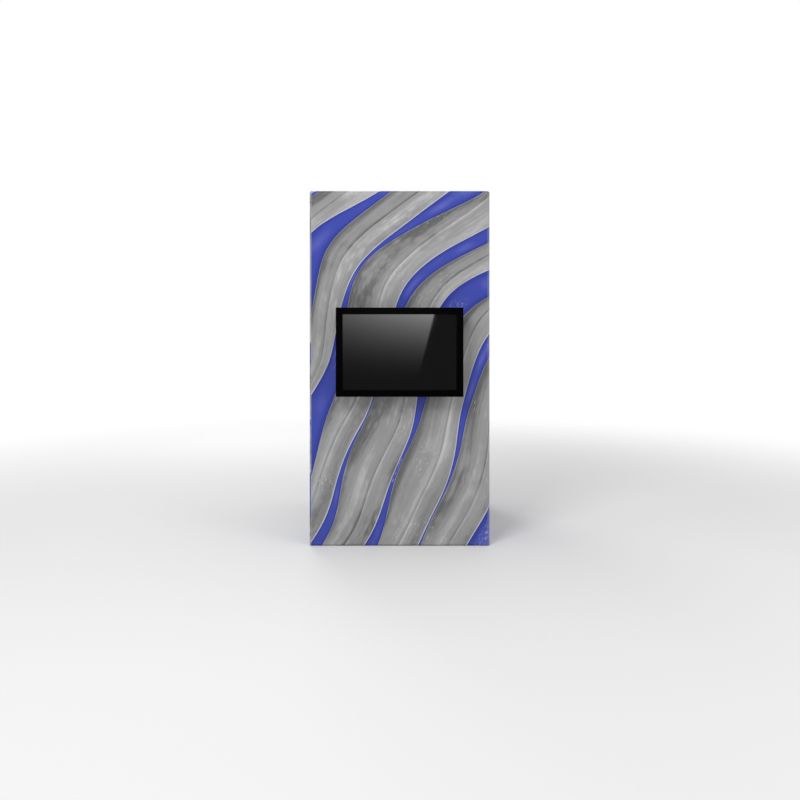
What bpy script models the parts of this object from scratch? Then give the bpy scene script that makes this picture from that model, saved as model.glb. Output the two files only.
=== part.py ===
"""Tension fabric display tower with a tilting screen on its front face.

Metres, +Z up. The viewer stands at -Y and looks along +Y, so left is -X.
The origin lies on the floor, under the middle of the whole object.
"""

import math

import bmesh
import bpy
from mathutils import Matrix, Vector

# Tower
tower_width = 1.220
tower_depth = 1.220
tower_height = 2.404
tube_radius = 0.0150
tube_wall = 0.0015
fit_gap = 0.0003
sleeve_thickness = 0.0008
foot_height = 0.0030
foot_radius = 0.0125
hem_height = 0.0030
post_joint_height = 1.100
seam_angle = math.radians(70)

# Corner hubs
hub_ball_radius = 0.0146
hub_arm = 0.0300
spigot_length = 0.0450
spigot_clearance = 0.0003
lead_in = 0.0020

# Snap buttons
button_radius = 0.0040
button_hole_radius = 0.0043
button_height_on_spigot = 0.0250
button_stand = 0.0035
button_flange_radius = 0.0060
button_flange_thickness = 0.0020
button_crown = 0.0012

# Crossbars and their studs
crossbar_spacing = 0.150
stud_radius = 0.0040
stud_spacing = 0.360
stud_reach = 0.0120
eyelet_hole_radius = 0.0060

# Zip
zip_inset = 0.0450
zip_tape_width = 0.0300
zip_ridge_width = 0.0060
zip_ridge_height = 0.0020
zip_end_height = 0.0600
slider_length = 0.0160
slider_corner_radius = 0.0032
slider_wall = 0.0012
slider_flange = 0.0025
slider_pin_rise = 0.0026
slider_pin_radius = 0.0008
slider_ear_radius = 0.0020
slider_ear_width = 0.0012
pull_eye_width = 0.0036
pull_hole_radius = 0.0012
pull_eye_radius = 0.0023
pull_length = 0.0340
pull_width = 0.0090
pull_thickness = 0.0014

# Screen mount
mount_height = 1.314
mount_stand_off = 0.0660
sheet = 0.0025
plate_width = 0.460
plate_web_height = 0.200
plate_reach = 0.0150
plate_lip_height = 0.0180
plate_hole_radius = 0.0044
plate_slot_width = 0.0080
plate_slot_length = 0.0300
plate_slot_pitch = 0.0500
plate_slot_row = 0.0450
bracket_spacing = 0.200
bracket_width = 0.0340
bracket_drop = 0.0240
bracket_tongue = 0.0120
cheek_top_height = 0.0440
cheek_bottom_height = 0.0620
cheek_nose_radius = 0.0130
arm_clearance = 0.0005
arm_height = 0.260
arm_cheek_top_height = 0.0420
arm_cheek_bottom_height = 0.0640
arm_nose_radius = 0.0110
arm_stud_boss_radius = 0.0085
arm_screw_radius = 0.0032
arm_screw_spacing = 0.200
arm_slot_length = 0.0240
arm_slot_spacing = 0.1400
pivot_setback = 0.0280
pivot_radius = 0.0050
pivot_clearance = 0.0003
pivot_stand = 0.0025
lock_radius = 0.0280
lock_stud_radius = 0.0030
lock_stud_clearance = 0.0006
tilt_forward = math.radians(12)
tilt_back = math.radians(5)
slot_margin = math.radians(2)
knob_radius = 0.0130
knob_lobe_depth = 0.0022
knob_edge = 0.0016
knob_lobes = 6
knob_thickness = 0.0120
knob_neck_radius = 0.0070
knob_neck_length = 0.0020
latch_sheet = 0.0020
latch_width = 0.0180
latch_top_height = 0.0960
latch_hold = 0.0080
latch_travel = 0.0120
latch_rivet_radius = 0.0025
latch_rivet_head_radius = 0.0050
latch_rivet_head = 0.0015
latch_rivet_height = 0.1120
latch_ring_radius = 0.0070
latch_ring_hole_radius = 0.0045

# Screen
monitor_width = 0.842
monitor_height = 0.589
monitor_depth = 0.0580
screen_width = 0.751
screen_height = 0.499
bezel_depth = 0.0240
bezel_wall = 0.0030
bezel_edge = 0.0010
glass_thickness = 0.0040
glass_overlap = 0.0120
module_overlap = 0.0250
module_thickness = 0.0150
module_edge = 0.0030
module_rib_width = 0.0300
module_rib_height = 0.0080
module_rib_length = 0.4200
module_rib_spacing = 0.1800
cover_wall = 0.0025
cover_rim_depth = 0.0140
cover_slope_depth = 0.0040
cover_round_depth = 0.0040
cover_corner_radius = 0.0200
rim_corner_radius = 0.0020
hump_width = 0.600
hump_height = 0.400
hump_draft = 0.0300
hump_round = 0.0080
vent_width = 0.0040
vent_length = 0.0220
vent_pitch = 0.0240
vent_count = 16
board_thickness = 0.0016
main_board_width = 0.200
main_board_height = 0.160
power_board_width = 0.150
power_board_height = 0.160
board_offset = 0.130
panel_width = 0.1100
panel_height = 0.0260
panel_thickness = 0.0012
panel_window_inset = 0.0040
panel_centre_x = -0.0100
panel_drop = 0.1300
inlet_width = 0.0270
inlet_height = 0.0200
inlet_depth = 0.0200
inlet_flange = 0.0030
inlet_flange_thickness = 0.0020
inlet_wall = 0.0018
inlet_floor = 0.0030
inlet_pin_width = 0.0040
inlet_pin_thickness = 0.0020
inlet_pin_length = 0.0120
inlet_pin_pitch = 0.0070
inlet_pin_rise = 0.0040
inlet_centre_x = 0.1500
key_length = 0.0090
key_width = 0.0050
key_stand = 0.0010
key_flange = 0.0010
key_flange_thickness = 0.0010
key_pitch = 0.0180
key_drop = 0.1600
key_edge = 0.0004

# One overrun serves every cut, and one weld distance every join
overrun = 0.0010
weld_distance = 0.00001
tube_steps = 20
small_steps = 12
arc_steps = 6
slot_steps = 4
lobe_steps = 6
corner_steps = 4
edge_steps = 2
sharp_angle = math.radians(35)

quarter = math.pi / 2
facing_front = (quarter, 0, 0)
facing_side = (quarter, 0, quarter)

# Places that follow from the sizes
sleeve_radius = tube_radius + fit_gap + sleeve_thickness
slider_height = zip_ridge_height + fit_gap + slider_wall
rear_proud = slider_height + slider_pin_rise + pull_eye_radius
monitor_proud = mount_stand_off + monitor_depth
tower_y = (monitor_proud - rear_proud) / 2
face_y = tower_y - tower_depth / 2
rear_y = tower_y + tower_depth / 2
post_x = tower_width / 2 - sleeve_radius
post_y = tower_depth / 2 - sleeve_radius
rail_low_z = foot_height + tube_radius
rail_high_z = tower_height - sleeve_radius
spigot_radius = tube_radius - tube_wall - spigot_clearance
panel_top_z = tower_height - sleeve_radius - fit_gap / 2
pivot_z = mount_height
pivot_y = face_y - (mount_stand_off - pivot_setback)
lip_front_y = face_y - plate_reach
monitor_back_y = face_y - mount_stand_off
monitor_front_y = face_y - monitor_proud

for old in list(bpy.data.objects):
    bpy.data.objects.remove(old, do_unlink=True)

parts = bpy.data.collections.new("display_tower")
cutters = bpy.data.collections.new("cutters")
bpy.context.scene.collection.children.link(parts)
bpy.context.scene.collection.children.link(cutters)


def material(name, colour, roughness, metallic=0.0):
    """A Principled finish with one colour."""
    finish = bpy.data.materials.new(name)
    finish.use_nodes = True
    shader = finish.node_tree.nodes["Principled BSDF"]
    shader.inputs["Base Color"].default_value = (*colour, 1.0)
    shader.inputs["Roughness"].default_value = roughness
    shader.inputs["Metallic"].default_value = metallic
    finish.diffuse_color = (*colour, 1.0)
    return finish


finishes = {
    "aluminium": ((0.72, 0.73, 0.75), 0.35, 1.0),
    "hub_plastic": ((0.05, 0.05, 0.055), 0.5, 0.0),
    "steel": ((0.60, 0.60, 0.62), 0.3, 1.0),
    "fabric": ((0.30, 0.31, 0.33), 0.85, 0.0),
    "zip": ((0.06, 0.06, 0.07), 0.6, 0.0),
    "mount_steel": ((0.03, 0.03, 0.03), 0.45, 0.6),
    "knob_plastic": ((0.02, 0.02, 0.02), 0.4, 0.0),
    "bezel": ((0.004, 0.004, 0.004), 0.3, 0.0),
    "glass": ((0.010, 0.010, 0.011), 0.05, 0.0),
    "module": ((0.65, 0.66, 0.67), 0.35, 1.0),
    "cover": ((0.015, 0.015, 0.016), 0.55, 0.0),
    "board": ((0.02, 0.16, 0.06), 0.5, 0.0),
    "socket": ((0.02, 0.02, 0.02), 0.5, 0.0),
}


def finish_with(obj, finish):
    """Give the piece its own copy of a named finish."""
    colour, roughness, metallic = finishes[finish]
    obj.data.materials.clear()
    obj.data.materials.append(material(obj.name, colour, roughness, metallic))


def add_object(name, data, collection=cutters):
    """A new object in a collection; cutters show as wires only."""
    obj = bpy.data.objects.new(name, data)
    collection.objects.link(obj)
    if collection is cutters:
        obj.hide_render = True
        obj.display_type = "WIRE"
    return obj


def mesh_object(name, bm):
    """Turn a bmesh into an object."""
    mesh = bpy.data.meshes.new(name)
    bm.to_mesh(mesh)
    bm.free()
    return add_object(name, mesh)


def box(name, size, centre):
    """A box from its three sizes and its centre."""
    bm = bmesh.new()
    place = Matrix.Translation(centre) @ Matrix.Diagonal((*size, 1))
    bmesh.ops.create_cube(bm, size=1, matrix=place)
    return mesh_object(name, bm)


def rod(name, radius, start, end, steps=small_steps, end_radius=None):
    """A round bar or cone between two points."""
    along = Vector(end) - Vector(start)
    turn = along.to_track_quat("Z", "Y").to_matrix().to_4x4()
    place = Matrix.Translation((Vector(start) + Vector(end)) / 2) @ turn
    bm = bmesh.new()
    bmesh.ops.create_cone(
        bm,
        cap_ends=True,
        segments=steps,
        radius1=radius,
        radius2=radius if end_radius is None else end_radius,
        depth=along.length,
        matrix=place,
    )
    return mesh_object(name, bm)


def bake(obj, name, collection=parts):
    """The evaluated shape as a plain closed mesh, its place in its points."""
    bpy.context.view_layer.update()
    shown = obj.evaluated_get(bpy.context.evaluated_depsgraph_get())
    mesh = bpy.data.meshes.new_from_object(shown)
    bm = bmesh.new()
    bm.from_mesh(mesh)
    bmesh.ops.transform(bm, matrix=obj.matrix_world, verts=bm.verts)
    bmesh.ops.remove_doubles(bm, verts=bm.verts, dist=weld_distance)
    bmesh.ops.recalc_face_normals(bm, faces=bm.faces)
    bm.to_mesh(mesh)
    bm.free()
    bpy.data.objects.remove(obj, do_unlink=True)
    mesh.name = name
    return add_object(name, mesh, collection)


def turned(name, profile, steps=tube_steps):
    """A solid of revolution about Z; the profile runs down its outer side."""
    bm = bmesh.new()
    points = [bm.verts.new((radius, 0, height)) for radius, height in profile]
    closed = profile[0][0] > 0
    for first, second in zip(points, points[1:]):
        bm.edges.new((first, second))
    if closed:
        bm.edges.new((points[-1], points[0]))
    obj = mesh_object(name, bm)
    screw = obj.modifiers.new("turn", "SCREW")
    screw.steps = steps
    screw.render_steps = steps
    screw.use_merge_vertices = True
    screw.merge_threshold = weld_distance
    screw.use_normal_calculate = True
    return bake(obj, name, cutters)


def flat_shape(name, outlines, thickness, rotation=(0, 0, 0), location=(0, 0, 0)):
    """A plate from 2D outlines; the later outlines are holes in the first."""
    curve = bpy.data.curves.new(name, "CURVE")
    curve.dimensions = "2D"
    curve.fill_mode = "BOTH"
    curve.extrude = thickness / 2
    for outline in outlines:
        spline = curve.splines.new("POLY")
        spline.points.add(len(outline) - 1)
        for point, (u, v) in zip(spline.points, outline):
            point.co = (u, v, 0, 1)
        spline.use_cyclic_u = True
    obj = add_object(name, curve)
    obj.rotation_euler = rotation
    obj.location = location
    return bake(obj, name, cutters)


def combine(base, tools, operation):
    """Join tools to a piece, or cut them out of it."""
    for tool in tools:
        step = base.modifiers.new(operation.lower(), "BOOLEAN")
        step.operation = operation
        step.solver = "EXACT"
        step.object = tool
    return base


def move_origin(obj, origin):
    """Put an unturned piece's origin on a point and leave its shape in place."""
    obj.data.transform(Matrix.Translation(obj.location - Vector(origin)))
    obj.location = origin
    return obj


def middle(obj):
    """The middle of an unturned piece's box."""
    corners = [Vector(corner) for corner in obj.bound_box]
    return (corners[0] + corners[6]) / 2 + obj.location


def settle(obj, name, finish, location=None, rotation=(0, 0, 0)):
    """Bake the piece, give it its place and its finish."""
    made = bake(obj, name)
    if location is None:
        move_origin(made, middle(made))
    else:
        made.location = location
        made.rotation_euler = rotation
    made.data.shade_smooth()
    made.data.set_sharp_from_angle(angle=sharp_angle)
    finish_with(made, finish)
    return made


def twin(source, name, location, rotation=(0, 0, 0)):
    """Another copy of a repeated piece, in another place."""
    made = add_object(name, source.data.copy(), parts)
    made.location = location
    made.rotation_euler = rotation
    made.data.materials.clear()
    made.data.materials.append(source.data.materials[0].copy())
    made.data.materials[0].name = name
    return made


def hang_on(parent, children):
    """Parent pieces to an unturned empty or piece and keep their places."""
    for child in children:
        child.parent = parent
        child.location = child.location - parent.location
    return children


def arc(centre_u, centre_v, radius, start, end, steps=arc_steps):
    """Points on an arc from one angle to another."""
    angles = [start + (end - start) * step / steps for step in range(steps + 1)]
    return [(centre_u + radius * math.cos(a), centre_v + radius * math.sin(a)) for a in angles]


def circle(centre_u, centre_v, radius, steps=small_steps):
    """Points of a full circle."""
    return arc(centre_u, centre_v, radius, 0, math.tau * (steps - 1) / steps, steps - 1)


def rectangle(width, height, centre_u=0, centre_v=0):
    """Four corner points."""
    u, v = width / 2, height / 2
    corners = ((-u, -v), (u, -v), (u, v), (-u, v))
    return [(centre_u + a, centre_v + b) for a, b in corners]


def rounded(width, height, radius, steps=corner_steps):
    """A rectangle with round corners, counter-clockwise from the right."""
    u, v = width / 2 - radius, height / 2 - radius
    points = []
    for index, (a, b) in enumerate(((u, v), (-u, v), (-u, -v), (u, -v))):
        points += arc(a, b, radius, index * quarter, (index + 1) * quarter, steps)
    return points


def upright_slot(centre_u, centre_v, half_length, radius):
    """An upright slot with round ends."""
    top = arc(centre_u, centre_v + half_length, radius, 0, math.pi, slot_steps)
    bottom = arc(centre_u, centre_v - half_length, radius, math.pi, math.tau, slot_steps)
    return top + bottom


def curved_slot(radius, half_width, start, end):
    """A slot that follows an arc about the origin."""
    outer = arc(0, 0, radius + half_width, start, end)
    inner = arc(0, 0, radius - half_width, end, start)
    end_u, end_v = radius * math.cos(end), radius * math.sin(end)
    start_u, start_v = radius * math.cos(start), radius * math.sin(start)
    far = arc(end_u, end_v, half_width, end, end + math.pi, slot_steps)[1:-1]
    near = arc(start_u, start_v, half_width, start + math.pi, start + math.tau, slot_steps)[1:-1]
    return outer + far + inner + near


def strip(path, thickness):
    """The outline of a bent sheet, half its thickness to each side of a path."""
    left, right = [], []
    for index, point in enumerate(path):
        here = Vector(point)
        before = Vector(path[max(index - 1, 0)])
        after = Vector(path[min(index + 1, len(path) - 1)])
        first = (here - before).normalized() if index > 0 else (after - here).normalized()
        last = (after - here).normalized() if index < len(path) - 1 else first
        side = Vector((-first.y - last.y, first.x + last.x)).normalized()
        reach = thickness / 2 / max(side.dot(Vector((-last.y, last.x))), math.cos(quarter / 2))
        left.append(tuple(here + side * reach))
        right.append(tuple(here - side * reach))
    return left + right[::-1]


# Corner hubs: three collars with spigots that meet in a ball, and a foot below


def hub_arm_profile():
    """Half section of one arm, from its tip down to the middle of the hub."""
    tip = hub_arm + spigot_length
    return [
        (0, tip),
        (spigot_radius - lead_in, tip),
        (spigot_radius, tip - lead_in),
        (spigot_radius, hub_arm),
        (tube_radius, hub_arm),
        (tube_radius, 0),
        (0, 0),
    ]


def make_hub(name, foot):
    """A hub for the front left corner, with arms to +X, +Y and up."""
    bm = bmesh.new()
    bmesh.ops.create_uvsphere(bm, u_segments=small_steps, v_segments=small_steps // 2, radius=hub_ball_radius)
    ball = mesh_object("hub_ball", bm)
    arms = []
    for rotation in ((0, quarter, 0), (-quarter, 0, 0), (0, 0, 0)):
        limb = turned("hub_limb", hub_arm_profile(), small_steps)
        limb.rotation_euler = rotation
        arms.append(limb)
    if foot:
        arms.append(rod("hub_foot", foot_radius, (0, 0, -rail_low_z), (0, 0, 0)))
    return combine(ball, arms, "UNION")


corners = {
    "front_left": (-post_x, tower_y - post_y, 0),
    "front_right": (post_x, tower_y - post_y, 1),
    "rear_right": (post_x, tower_y + post_y, 2),
    "rear_left": (-post_x, tower_y + post_y, 3),
}

low_hub = None
high_hub = None
for corner, (x, y, turns) in corners.items():
    turn = turns * quarter
    if low_hub is None:
        low_hub = settle(make_hub("low", True), "hub_bottom_" + corner, "hub_plastic", (x, y, rail_low_z))
        high_hub = settle(make_hub("high", False), "hub_top_" + corner, "hub_plastic", (x, y, rail_high_z))
        high_hub.rotation_euler = (math.pi, 0, quarter)
    else:
        twin(low_hub, "hub_bottom_" + corner, (x, y, rail_low_z), (0, 0, turn))
        twin(high_hub, "hub_top_" + corner, (x, y, rail_high_z), (math.pi, 0, turn + quarter))


# Posts in two lengths, joined by a swaged spigot with a snap button

lower_bottom = rail_low_z + hub_arm + fit_gap
upper_bottom = post_joint_height + fit_gap
upper_top = rail_high_z - hub_arm - fit_gap
button_z = post_joint_height + button_height_on_spigot
tube_bore = tube_radius - tube_wall


def tube_profile(bottom, top):
    """Wall section of a plain tube."""
    return [(tube_radius, top), (tube_radius, bottom), (tube_bore, bottom), (tube_bore, top)]


def swaged_profile():
    """Wall section of the lower post, with its reduced top end."""
    tip = post_joint_height + spigot_length
    bore = spigot_radius - tube_wall
    return [
        (spigot_radius, tip),
        (spigot_radius, post_joint_height),
        (tube_radius, post_joint_height),
        (tube_radius, lower_bottom),
        (tube_bore, lower_bottom),
        (tube_bore, post_joint_height - lead_in),
        (bore, post_joint_height - lead_in + tube_wall),
        (bore, tip),
    ]


def button_cutter():
    """A bar through the inner side of a post, where the button shows."""
    near = (spigot_radius / 2, 0, button_z)
    far = (tube_radius + overrun, 0, button_z)
    return rod("button_cutter", button_hole_radius, near, far)


first_lower = None
first_upper = None
for corner, (x, y, _) in corners.items():
    facing = 0 if x < 0 else math.pi
    if first_lower is None:
        lower = combine(turned("lower", swaged_profile()), [button_cutter()], "DIFFERENCE")
        upper = turned("upper", tube_profile(upper_bottom, upper_top))
        upper = combine(upper, [button_cutter()], "DIFFERENCE")
        first_lower = settle(lower, "post_lower_" + corner, "aluminium", (x, y, 0))
        first_upper = settle(upper, "post_upper_" + corner, "aluminium", (x, y, 0))
    else:
        twin(first_lower, "post_lower_" + corner, (x, y, 0), (0, 0, facing))
        twin(first_upper, "post_upper_" + corner, (x, y, 0), (0, 0, facing))


def button_profile():
    """Half section of a snap button, its crown up and its flange below."""
    crown = tube_radius + button_stand
    flange_top = spigot_radius - tube_wall - button_flange_radius / 2
    return [
        (0, crown),
        (button_radius - button_crown, crown),
        (button_radius, crown - button_crown),
        (button_radius, flange_top),
        (button_flange_radius, flange_top),
        (button_flange_radius, flange_top - button_flange_thickness),
        (0, flange_top - button_flange_thickness),
    ]


for corner, (x, y, _) in corners.items():
    facing = (0, quarter if x < 0 else -quarter, 0)
    button = turned("button", button_profile(), small_steps)
    settle(button, "snap_button_" + corner, "steel", (x, y, button_z), facing)


# Rails between the hubs

rail_reach_x = post_x - hub_arm - fit_gap
rail_reach_y = post_y - hub_arm - fit_gap
rail_places = {
    "front": (rail_reach_x, (0, quarter, 0), 0, tower_y - post_y),
    "rear": (rail_reach_x, (0, quarter, 0), 0, tower_y + post_y),
    "left": (rail_reach_y, (quarter, 0, 0), -post_x, tower_y),
    "right": (rail_reach_y, (quarter, 0, 0), post_x, tower_y),
}
for level, z in (("bottom", rail_low_z), ("top", rail_high_z)):
    for side, (reach, rotation, x, y) in rail_places.items():
        rail = turned("rail", tube_profile(-reach, reach))
        settle(rail, "rail_%s_%s" % (level, side), "aluminium", (x, y, z), rotation)


# Crossbars: coped ends that fit the front posts, and two studs through the sleeve

crossbar_y = tower_y - post_y
for name, side in (("crossbar_upper", 1), ("crossbar_lower", -1)):
    z = mount_height + side * crossbar_spacing / 2
    bar = turned("bar", tube_profile(-post_x, post_x))
    bar.rotation_euler = (0, quarter, 0)
    bar.location = (0, crossbar_y, z)
    copes = []
    studs = []
    for x in (-post_x, post_x):
        low = (x, crossbar_y, z - tube_radius - overrun)
        high = (x, crossbar_y, z + tube_radius + overrun)
        copes.append(rod("cope", tube_radius + fit_gap, low, high, tube_steps))
    for x in (-stud_spacing / 2, stud_spacing / 2):
        root = (x, crossbar_y - tube_bore, z)
        tip = (x, face_y - stud_reach, z)
        studs.append(rod("stud", stud_radius, root, tip))
    combine(bar, copes, "DIFFERENCE")
    combine(bar, studs, "UNION")
    settle(bar, name, "aluminium")


# Sleeve: five panels of one stretched cover, parted at their seams

sleeve_mid = sleeve_radius - sleeve_thickness / 2
seam_step = fit_gap / 2 / sleeve_mid
front_y = tower_y - post_y
back_y = tower_y + post_y
zip_x = post_x - zip_inset
zip_edge = zip_tape_width / 2


def panel(name, path):
    """One upright panel of the sleeve along a plan path."""
    height = panel_top_z - hem_height
    solid = flat_shape(name, [strip(path, sleeve_thickness)], height)
    solid.location = (0, 0, hem_height + height / 2)
    return solid


front_path = arc(-post_x, front_y, sleeve_mid, math.pi + seam_angle + seam_step, 3 * quarter)
front_path += arc(post_x, front_y, sleeve_mid, 3 * quarter, 2 * math.pi - seam_angle - seam_step)
right_path = arc(post_x, front_y, sleeve_mid, -seam_angle + seam_step, 0)
right_path += arc(post_x, back_y, sleeve_mid, 0, quarter)
right_path += [(zip_x + zip_edge + fit_gap, back_y + sleeve_mid)]
rear_path = [(zip_x - zip_edge - fit_gap, back_y + sleeve_mid)]
rear_path += arc(-post_x, back_y, sleeve_mid, quarter, math.pi - seam_angle - seam_step)
left_path = arc(-post_x, back_y, sleeve_mid, math.pi - seam_angle + seam_step, math.pi)
left_path += arc(-post_x, front_y, sleeve_mid, math.pi, math.pi + seam_angle - seam_step)

eyelets = []
for x in (-stud_spacing / 2, stud_spacing / 2):
    for side in (-1, 1):
        z = mount_height + side * crossbar_spacing / 2
        near = (x, face_y - overrun, z)
        far = (x, face_y + sleeve_thickness + overrun, z)
        eyelets.append(rod("eyelet", eyelet_hole_radius, near, far))
settle(combine(panel("front", front_path), eyelets, "DIFFERENCE"), "sleeve_front", "fabric")
settle(panel("right", right_path), "sleeve_right", "fabric")
settle(panel("rear", rear_path), "sleeve_rear", "fabric")
settle(panel("left", left_path), "sleeve_left", "fabric")


def rounded_lid():
    """The top panel: a flat sheet that turns down over the four top rails."""
    bm = bmesh.new()
    width, depth = tower_width, tower_depth
    height = 2 * sleeve_radius
    centre = Matrix.Translation((0, tower_y, tower_height - sleeve_radius))
    bmesh.ops.create_cube(bm, size=1, matrix=centre @ Matrix.Diagonal((width, depth, height, 1)))
    edges = [e for e in bm.edges if max(v.co.z for v in e.verts) > tower_height - sleeve_radius]
    bmesh.ops.bevel(bm, geom=edges, offset=sleeve_radius, segments=corner_steps, profile=0.5, affect="EDGES")
    cut_z = panel_top_z + fit_gap
    geometry = list(bm.verts) + list(bm.edges) + list(bm.faces)
    bmesh.ops.bisect_plane(bm, geom=geometry, plane_co=(0, 0, cut_z), plane_no=(0, 0, 1), clear_inner=True)
    lid = mesh_object("lid", bm)
    wall = lid.modifiers.new("wall", "SOLIDIFY")
    wall.thickness = sleeve_thickness
    wall.offset = -1
    return lid


settle(rounded_lid(), "sleeve_top", "fabric")


# Zip beside the rear right corner, with a slider that closes downwards

ridge_half = zip_ridge_width / 2
tape_inner = rear_y - sleeve_thickness
zip_outline = [
    (zip_x - zip_edge, tape_inner),
    (zip_x + zip_edge, tape_inner),
    (zip_x + zip_edge, rear_y),
    (zip_x + ridge_half, rear_y),
    (zip_x + ridge_half - zip_ridge_height / 2, rear_y + zip_ridge_height),
    (zip_x - ridge_half + zip_ridge_height / 2, rear_y + zip_ridge_height),
    (zip_x - ridge_half, rear_y),
    (zip_x - zip_edge, rear_y),
]
zip_height = panel_top_z - hem_height
chain = flat_shape("chain", [zip_outline], zip_height, (0, 0, 0), (0, 0, hem_height + zip_height / 2))
settle(chain, "zip_chain", "zip")

slider_z = zip_end_height + slider_length / 2
slider_half = ridge_half + fit_gap + slider_wall
cavity_half = ridge_half + fit_gap
slider_low_y = rear_y + fit_gap
slider_top_y = rear_y + slider_height
slider_outline = [
    (zip_x - slider_half - slider_flange, slider_low_y),
    (zip_x - cavity_half, slider_low_y),
    (zip_x - cavity_half, slider_top_y - slider_wall),
    (zip_x + cavity_half, slider_top_y - slider_wall),
    (zip_x + cavity_half, slider_low_y),
    (zip_x + slider_half + slider_flange, slider_low_y),
    (zip_x + slider_half + slider_flange, slider_low_y + slider_wall / 2),
    (zip_x + slider_half, slider_low_y + slider_wall),
    (zip_x + slider_half, slider_top_y),
    (zip_x - slider_half, slider_top_y),
    (zip_x - slider_half, slider_low_y + slider_wall),
    (zip_x - slider_half - slider_flange, slider_low_y + slider_wall / 2),
]
pin_y = slider_top_y + slider_pin_rise
pin_z = slider_z
ear_offset = pull_eye_width / 2 + fit_gap + slider_ear_width / 2
slider = flat_shape("slider", [slider_outline], slider_length, (0, 0, 0), (0, 0, slider_z))
slider_width = 2 * (slider_half + slider_flange)
slider_plan = rounded(slider_width, slider_length, slider_corner_radius)
plan_place = (zip_x, slider_top_y, slider_z)
plan_cutter = flat_shape("slider_plan", [slider_plan], slider_length, facing_front, plan_place)
combine(slider, [plan_cutter], "INTERSECT")
slider = bake(slider, "slider_body", cutters)
ears = []
for side in (-1, 1):
    ear = arc(pin_y, pin_z, slider_ear_radius, -quarter, quarter)
    ear += [(slider_top_y - slider_wall / 2, pin_z + 2 * slider_ear_radius)]
    ear += [(slider_top_y - slider_wall / 2, pin_z - 2 * slider_ear_radius)]
    ears.append(flat_shape("ear", [ear], slider_ear_width, facing_side, (zip_x + side * ear_offset, 0, 0)))
ears.append(
    rod("pin", slider_pin_radius, (zip_x - ear_offset, pin_y, pin_z), (zip_x + ear_offset, pin_y, pin_z))
)
slider = settle(combine(slider, ears, "UNION"), "zip_slider", "steel")
move_origin(slider, (zip_x, rear_y, slider_z))

eye = flat_shape(
    "eye",
    [circle(pin_y, pin_z, pull_eye_radius), circle(pin_y, pin_z, pull_hole_radius)],
    pull_eye_width,
    facing_side,
    (zip_x, 0, 0),
)
neck_top = pin_z - (pull_hole_radius + pull_eye_radius) / 2
end_z = pin_z - pull_length + pull_width / 2
shoulder_z = neck_top - pull_width
tab_outline = [
    (-pull_eye_width / 2, neck_top),
    (-pull_eye_width / 2, neck_top - pull_eye_radius),
    (-pull_width / 2, shoulder_z),
]
tab_outline += arc(0, end_z, pull_width / 2, math.pi, math.tau)
tab_outline += [
    (pull_width / 2, shoulder_z),
    (pull_eye_width / 2, neck_top - pull_eye_radius),
    (pull_eye_width / 2, neck_top),
]
tab_hole = upright_slot(0, pin_z - pull_length + pull_width, pull_width / 4, pull_width / 5)
tab = flat_shape("tab", [tab_outline, tab_hole], pull_thickness, facing_front, (zip_x, pin_y, 0))
pull = settle(combine(tab, [eye], "UNION"), "zip_pull", "steel")
hang_on(slider, [move_origin(pull, (zip_x, pin_y, pin_z))])


# Wall plate: a hat section whose two lips carry the hook brackets

half_web = plate_web_height / 2
web_y = face_y - fit_gap - sheet / 2
lip_y = lip_front_y + sheet / 2
flange_z = half_web - sheet / 2
lip_top_z = half_web + plate_lip_height
plate_path = [
    (lip_y, mount_height + lip_top_z),
    (lip_y, mount_height + flange_z),
    (web_y, mount_height + flange_z),
    (web_y, mount_height - flange_z),
    (lip_y, mount_height - flange_z),
    (lip_y, mount_height - lip_top_z),
]
plate = flat_shape("plate", [strip(plate_path, sheet)], plate_width, facing_side)
plate_cuts = []
for x in (-stud_spacing / 2, stud_spacing / 2):
    for side in (-1, 1):
        z = mount_height + side * crossbar_spacing / 2
        start = (x, web_y - sheet, z)
        end = (x, web_y + sheet, z)
        plate_cuts.append(rod("plate_hole", plate_hole_radius, start, end))
for index in range(-2, 3):
    for side in (-1, 1):
        slot = upright_slot(0, 0, (plate_slot_length - plate_slot_width) / 2, plate_slot_width / 2)
        spot = (index * plate_slot_pitch, web_y, mount_height + side * plate_slot_row)
        plate_cuts.append(flat_shape("plate_slot", [slot], 2 * sheet, (quarter, quarter, 0), spot))
combine(plate, plate_cuts, "DIFFERENCE")
settle(plate, "wall_plate", "mount_steel")


# Hook brackets hang on the lips; the tilt arms turn between their cheeks

bracket_web_y = lip_front_y - fit_gap - sheet / 2
bracket_front_y = bracket_web_y - sheet / 2
tongue_y = lip_front_y + sheet + fit_gap + sheet / 2
bridge_z = mount_height + lip_top_z + fit_gap + sheet / 2
bracket_path = [
    (tongue_y, bridge_z - bracket_tongue),
    (tongue_y, bridge_z),
    (bracket_web_y, bridge_z),
    (bracket_web_y, mount_height - half_web - bracket_drop),
]
web_rel = bracket_web_y - pivot_y
lock_limits = (-quarter - tilt_back - slot_margin, -quarter + tilt_forward + slot_margin)
cheek = [(web_rel, cheek_top_height)]
cheek += arc(0, 0, cheek_nose_radius, quarter, math.pi)
cheek += arc(0, -lock_radius, cheek_nose_radius, math.pi, 3 * quarter)
cheek += [(web_rel, -cheek_bottom_height)]
cheek_holes = [
    circle(0, 0, pivot_radius + pivot_clearance),
    curved_slot(lock_radius, lock_stud_radius + lock_stud_clearance, *lock_limits),
]
arm_outer_half = bracket_width / 2 - sheet - arm_clearance
arm_web_y = monitor_back_y + fit_gap + sheet / 2
arm_rel = arm_web_y - pivot_y
arm_cheek = [(arm_rel, arm_cheek_top_height)]
arm_cheek += [(arm_rel, -arm_cheek_bottom_height)]
arm_cheek += arc(0, -lock_radius, arm_stud_boss_radius, -quarter, 0)
arm_cheek += arc(0, 0, arm_nose_radius, 0, quarter)
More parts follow.
